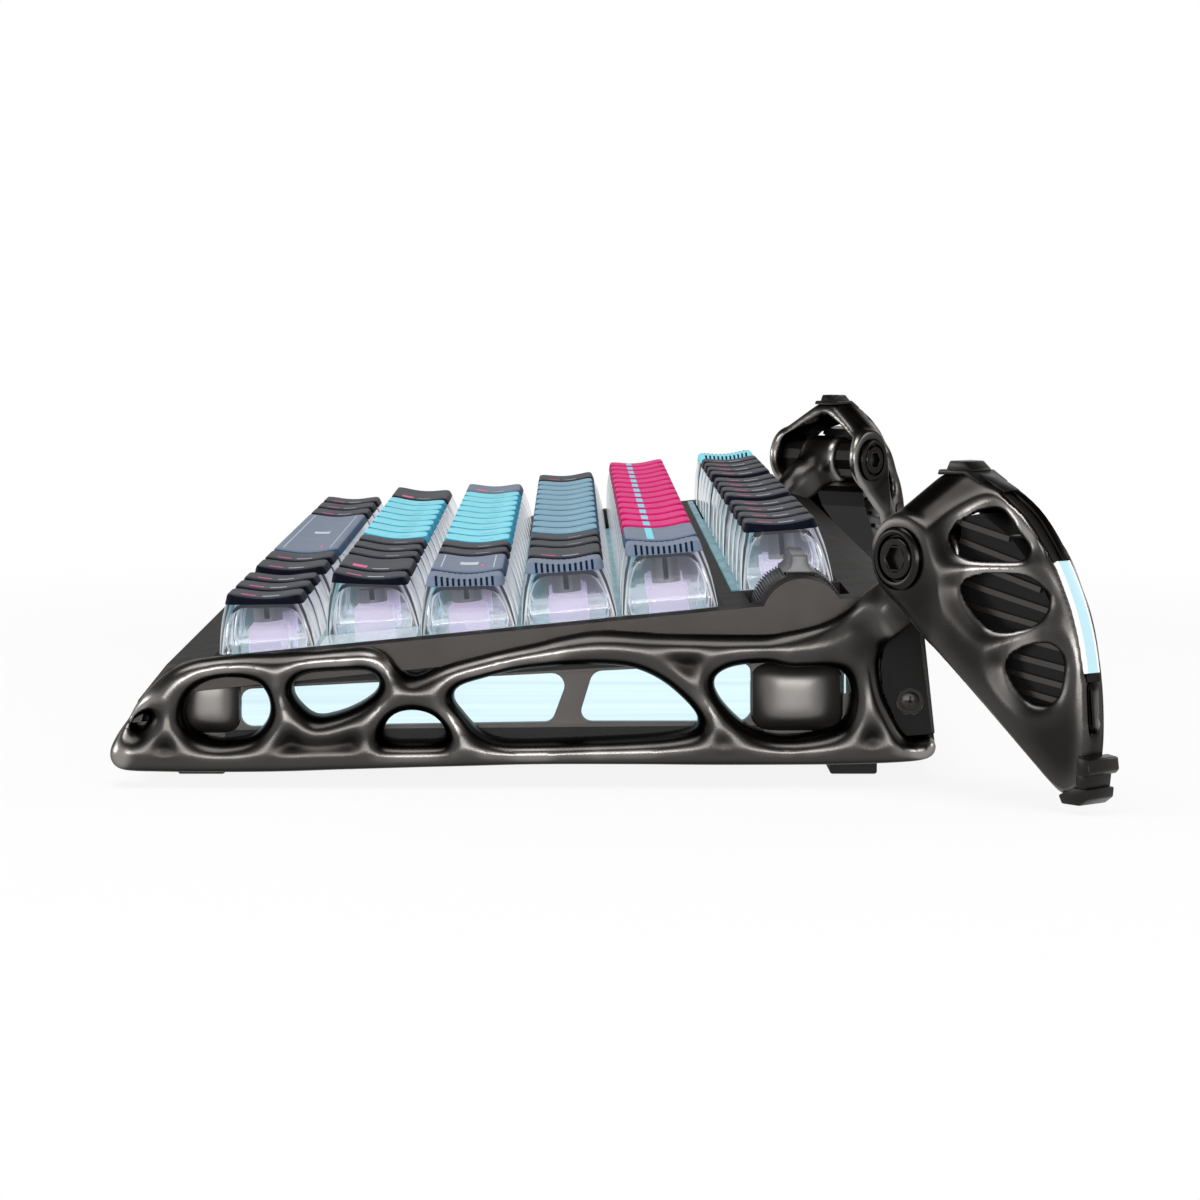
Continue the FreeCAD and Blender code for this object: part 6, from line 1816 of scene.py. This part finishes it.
# the plate wears the darker copy of the case finish, as painted shade behind the side frame
sides = [
    filled("case_side_right", CASE_SIDE, windows, 2.4, side_place(154.2), "shaded_case_wall", 0.15),
    bulge("case_block_front", -74.0, -61.6, 9.2, 20.4, 2.2, "case"),
    bulge("case_block_rear", 33.9, 51.2, 9.6, 22.4, 2.8, "case"),
]
sides += [filled("window_sill", sill, [], 0.06, side_place(155.45), "sill", 0.01) for sill in SHADE_STRIPS]
sides.append(box("rear_sliver", (0.3, 0.3, 3.6), (155.6, HOME_Y + 51.6, 18.4), millimetres, "leg_glow", 0.05, 1))
right_side = joined("case_side_right", sides)

# %% The case between its sides
WALL_IN = 152.95


def ends_cut(piece):
    """Cuts off what lies outside the side plates."""
    cut = bmesh.new()
    cut.from_mesh(piece.data)
    for side in (-1, 1):
        everything = cut.verts[:] + cut.edges[:] + cut.faces[:]
        plane = {"plane_co": (side * WALL_IN * MM, 0, 0), "plane_no": (side, 0, 0)}
        bmesh.ops.bisect_plane(cut, geom=everything, clear_outer=True, **plane)
    cut.to_mesh(piece.data)
    cut.free()
    return piece


case = ends_cut(drawn_in(softened("lower_case", "dressed_case", "case", 0.30)))
case = joined("dressed_case", [case, right_side, mirrored(right_side, "case_side_left")])
settle(evened(case), "case", "case", "lower_case")

# %% [markdown]
# ### The rear cover
# A flat panel with one screw closes the rear cover at each end. It is a separate plate on the real keyboard, so
# it is a plate with a round recess here too, and the screw is turned. The cross in its head is two small bars.

# %% The end panel and its screw
END_PANEL = [
    (61.8, 9.1), (59.9, 13.8), (58.3, 17.7), (57.9, 22.4), (58.5, 25.5), (60.3, 28.3), (62.6, 30.2), (65.0, 31.0),
    (65.2, 27.6), (66.4, 18.0), (67.4, 9.6),
]
END_SCREW = (63.4, 15.6)
RECESS_RADIUS = 2.6
# the floor of the recess and the cross in the screw head are black, as painted shade
RECESS_FLOOR = [(0.01, 159.6), (3.2, 159.6), (3.2, 159.9), (0.01, 159.9)]
SCREW_HEAD = [(0.01, 159.8), (1.8, 159.8), (1.8, 160.0), (1.4, 160.2), (0.01, 160.25)]
turns = [math.radians(a) for a in range(0, 360, 10)]
recess = [(END_SCREW[0] + RECESS_RADIUS * math.cos(a), END_SCREW[1] + RECESS_RADIUS * math.sin(a)) for a in turns]
screw_place = side_place(0) @ Matrix.Translation((*END_SCREW, 0))
panel = [
    filled("end_panel", END_PANEL, [recess], 0.7, side_place(160.1), "matte_panel", 0.04),
    turned("end_recess", RECESS_FLOOR, screw_place, "sill", 40),
    turned("end_screw", SCREW_HEAD, screw_place, "screw", 40),
]
for size in ((1.9, 0.4, 0.12), (0.4, 1.9, 0.12)):
    panel.append(box("end_cross", size, (0, 0, 160.22), screw_place, "sill", 0.02, 1))
panel = joined("end_panel_right", panel)
rear = softened("rear_cover", "dressed_rear", "casting", 0.5, 3)
rear = joined("dressed_rear", [rear, panel, mirrored(panel, "end_panel_left")])
settle(evened(rear), "case", "cover_plastic", "rear_cover")

# %% [markdown]
# ## Parts that keep their form
# Most of what lies inside is hardly seen: the switch plate, the board, the gaskets, the wires. Modelling it again
# would add nothing. The feet and the roller's bracket get rounded edges, and the rest only gets its finish.

# %% Feet and bracket
settle(softened("rubber_feet", "dressed_feet", "rubber", 0.50), "case", "rubber", "rubber_feet")
settle(softened("roller_bracket", "dressed_bracket", "core", 0.30), "case", "cover_plastic", "roller_bracket")


# %% Finishes for the rest
def dress(look, *names):
    """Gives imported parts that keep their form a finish."""
    for name in names:
        node_mesh = nodes[name].data
        node_mesh.materials.clear()
        node_mesh.materials.append(looks[look])
    print(", ".join(names), "in", look)


dress("housing", "switch_housings", "stabilizer_housings")
dress("plate", "switch_plate")
dress("board", "circuit_board")
dress("foam", "plate_gaskets")
dress("wire", "stabilizer_wires", "roller_axle")
dress("light", "side_diffusers")
dress("deck_glow", "deck_light_strip")
dress("socket", "cable_socket")
dress("blank", "clear_blank")
dress("screw", "case_screws")
dress("bolt_dark", "hinge_bushes_right", "hinge_bushes_left")

# %% [markdown]
# ## The stage
# The photo shows the keyboard on a white sheet that fades into the background. A curved backdrop could be
# modelled. A flat floor does the same here: close to the keyboard it takes its shadow, and further out it turns
# into plain white. Its paleness is only for the camera and for mirrors, so that it doesn't light the keyboard
# from below.

# %% Rays that see the background
def background_rays(tree):
    """1 for camera, glossy and transmission rays."""
    path = node(tree, "ShaderNodeLightPath").outputs
    either = combined(tree, "MAXIMUM", path["Is Camera Ray"], path["Is Glossy Ray"])
    return combined(tree, "MAXIMUM", either, path["Is Transmission Ray"])


# %% The floor
FLOOR_HALF = 6
SHADE_END, WHITE_START = 0.18, 0.42
corners = [(x * FLOOR_HALF, y * FLOOR_HALF, 0) for x, y in ((-1, -1), (1, -1), (1, 1), (-1, 1))]
floor = new_piece("stage_floor", corners, [(0, 1, 2, 3)], Matrix(), [])
floor_finish, tree, out = new_material("stage_pale")
cloth = node(tree, "ShaderNodeBsdfDiffuse")
cloth.inputs["Color"].default_value = (0.80, 0.80, 0.80, 1)
paper = node(tree, "ShaderNodeEmission", Strength=1.0)
paper.inputs["Color"].default_value = (1, 1, 1, 1)
where = node(tree, "ShaderNodeNewGeometry")
away = node(tree, "ShaderNodeVectorMath", operation="LENGTH")
link(tree, where.outputs["Position"], away.inputs[0])
fade = {"start": SHADE_END, "end": WHITE_START, "interpolation_type": "SMOOTHSTEP"}
paleness = ranged(tree, away.outputs["Value"], 0.88, 1.0, **fade)
share = combined(tree, "MULTIPLY", background_rays(tree), paleness)
link(tree, blended(tree, share, cloth.outputs["BSDF"], paper.outputs["Emission"]), out.inputs["Surface"])
floor.data.materials.append(floor_finish)

# %% The room
# The backdrop is white all around, under a dark ceiling. Other rays find an even, weaker light.
world = bpy.data.worlds.new("studio")
world.use_nodes = True
tree = world.node_tree
tree.nodes.clear()
out = tree.nodes.new("ShaderNodeOutputWorld")
fill = node(tree, "ShaderNodeBackground", Strength=0.42)
fill.inputs["Color"].default_value = (1, 1, 1, 1)
white = node(tree, "ShaderNodeBackground", Strength=1.0)
heading = node(tree, "ShaderNodeTexCoord")
directions = node(tree, "ShaderNodeSeparateXYZ")
link(tree, heading.outputs["Generated"], directions.inputs["Vector"])
ceiling = ramp(tree, directions.outputs["Z"], [(0.38, (1, 1, 1)), (0.70, (0.08, 0.08, 0.08))])
link(tree, ceiling, white.inputs["Color"])
room = blended(tree, background_rays(tree), fill.outputs["Background"], white.outputs["Background"])
link(tree, room, out.inputs["Surface"])
scene.world = world


# %% [markdown]
# ## Lamps and camera
# Product photos are lit with large soft boxes, because their reflections draw long even highlights along rounded
# edges. Small hard lamps would make specks. One large box hangs above, others face the right end and the leg, a
# low strip lights the skirts, and one lamp behind frees the outline. The camera stands where the photo's was.

# %% Soft boxes
def soft_light(name, place, aim, size, power, colour=(1, 1, 1)):
    """A rectangular lamp at a place, turned to a point."""
    lamp = bpy.data.lights.new(name, "AREA")
    lamp.shape = "RECTANGLE"
    lamp.size, lamp.size_y = size
    lamp.energy = power
    lamp.color = colour
    made = bpy.data.objects.new(name, lamp)
    made.location = place
    made.rotation_euler = (Vector(aim) - Vector(place)).to_track_quat("-Z", "Y").to_euler()
    scene.collection.objects.link(made)


# each lamp is (name, place, aim, size, watts)
LAMPS = [
    ("key_light", (0.25, -0.15, 0.9), (0.05, 0.0, 0.02), (0.8, 0.45), 5.2),
    ("front_box", (1.20, -0.02, 0.18), (0.16, 0.0, 0.02), (0.9, 0.32), 4.8),
    ("leg_box", (-0.05, -0.95, 0.20), (0.18, 0.06, 0.02), (0.5, 0.25), 2.4),
    ("low_strip", (1.25, -0.02, 0.05), (0.16, 0.0, 0.02), (0.9, 0.06), 2.2),
    ("rear_light", (-0.25, 0.85, 0.45), (0.16, 0.05, 0.03), (0.4, 0.2), 1.5),
]
for lamp in LAMPS:
    soft_light(*lamp)
print(len(LAMPS), "lamps")

# %% The camera, fitted to the photo
# Focal length and shift are counted in pixels of a picture of this width.
PICTURE_WIDTH = 1200
FOCAL_LENGTH, SHIFT_X, SHIFT_Y = 3768, 30.5, -336.0
SENSOR_WIDTH = 36.0
camera_data = bpy.data.cameras.new("view_from_the_end")
camera_data.sensor_width = SENSOR_WIDTH
camera_data.lens = SENSOR_WIDTH * FOCAL_LENGTH / PICTURE_WIDTH
camera_data.shift_x = SHIFT_X / PICTURE_WIDTH
camera_data.shift_y = SHIFT_Y / PICTURE_WIDTH
camera_data.clip_start = 0.05
camera = bpy.data.objects.new("view_from_the_end", camera_data)
camera.location = (0.8614, HOME_Y * MM, 0.097)
camera.rotation_euler = Euler((math.radians(90), 0, math.radians(90)))
scene.collection.objects.link(camera)
scene.camera = camera
scene.view_settings.view_transform = "Standard"
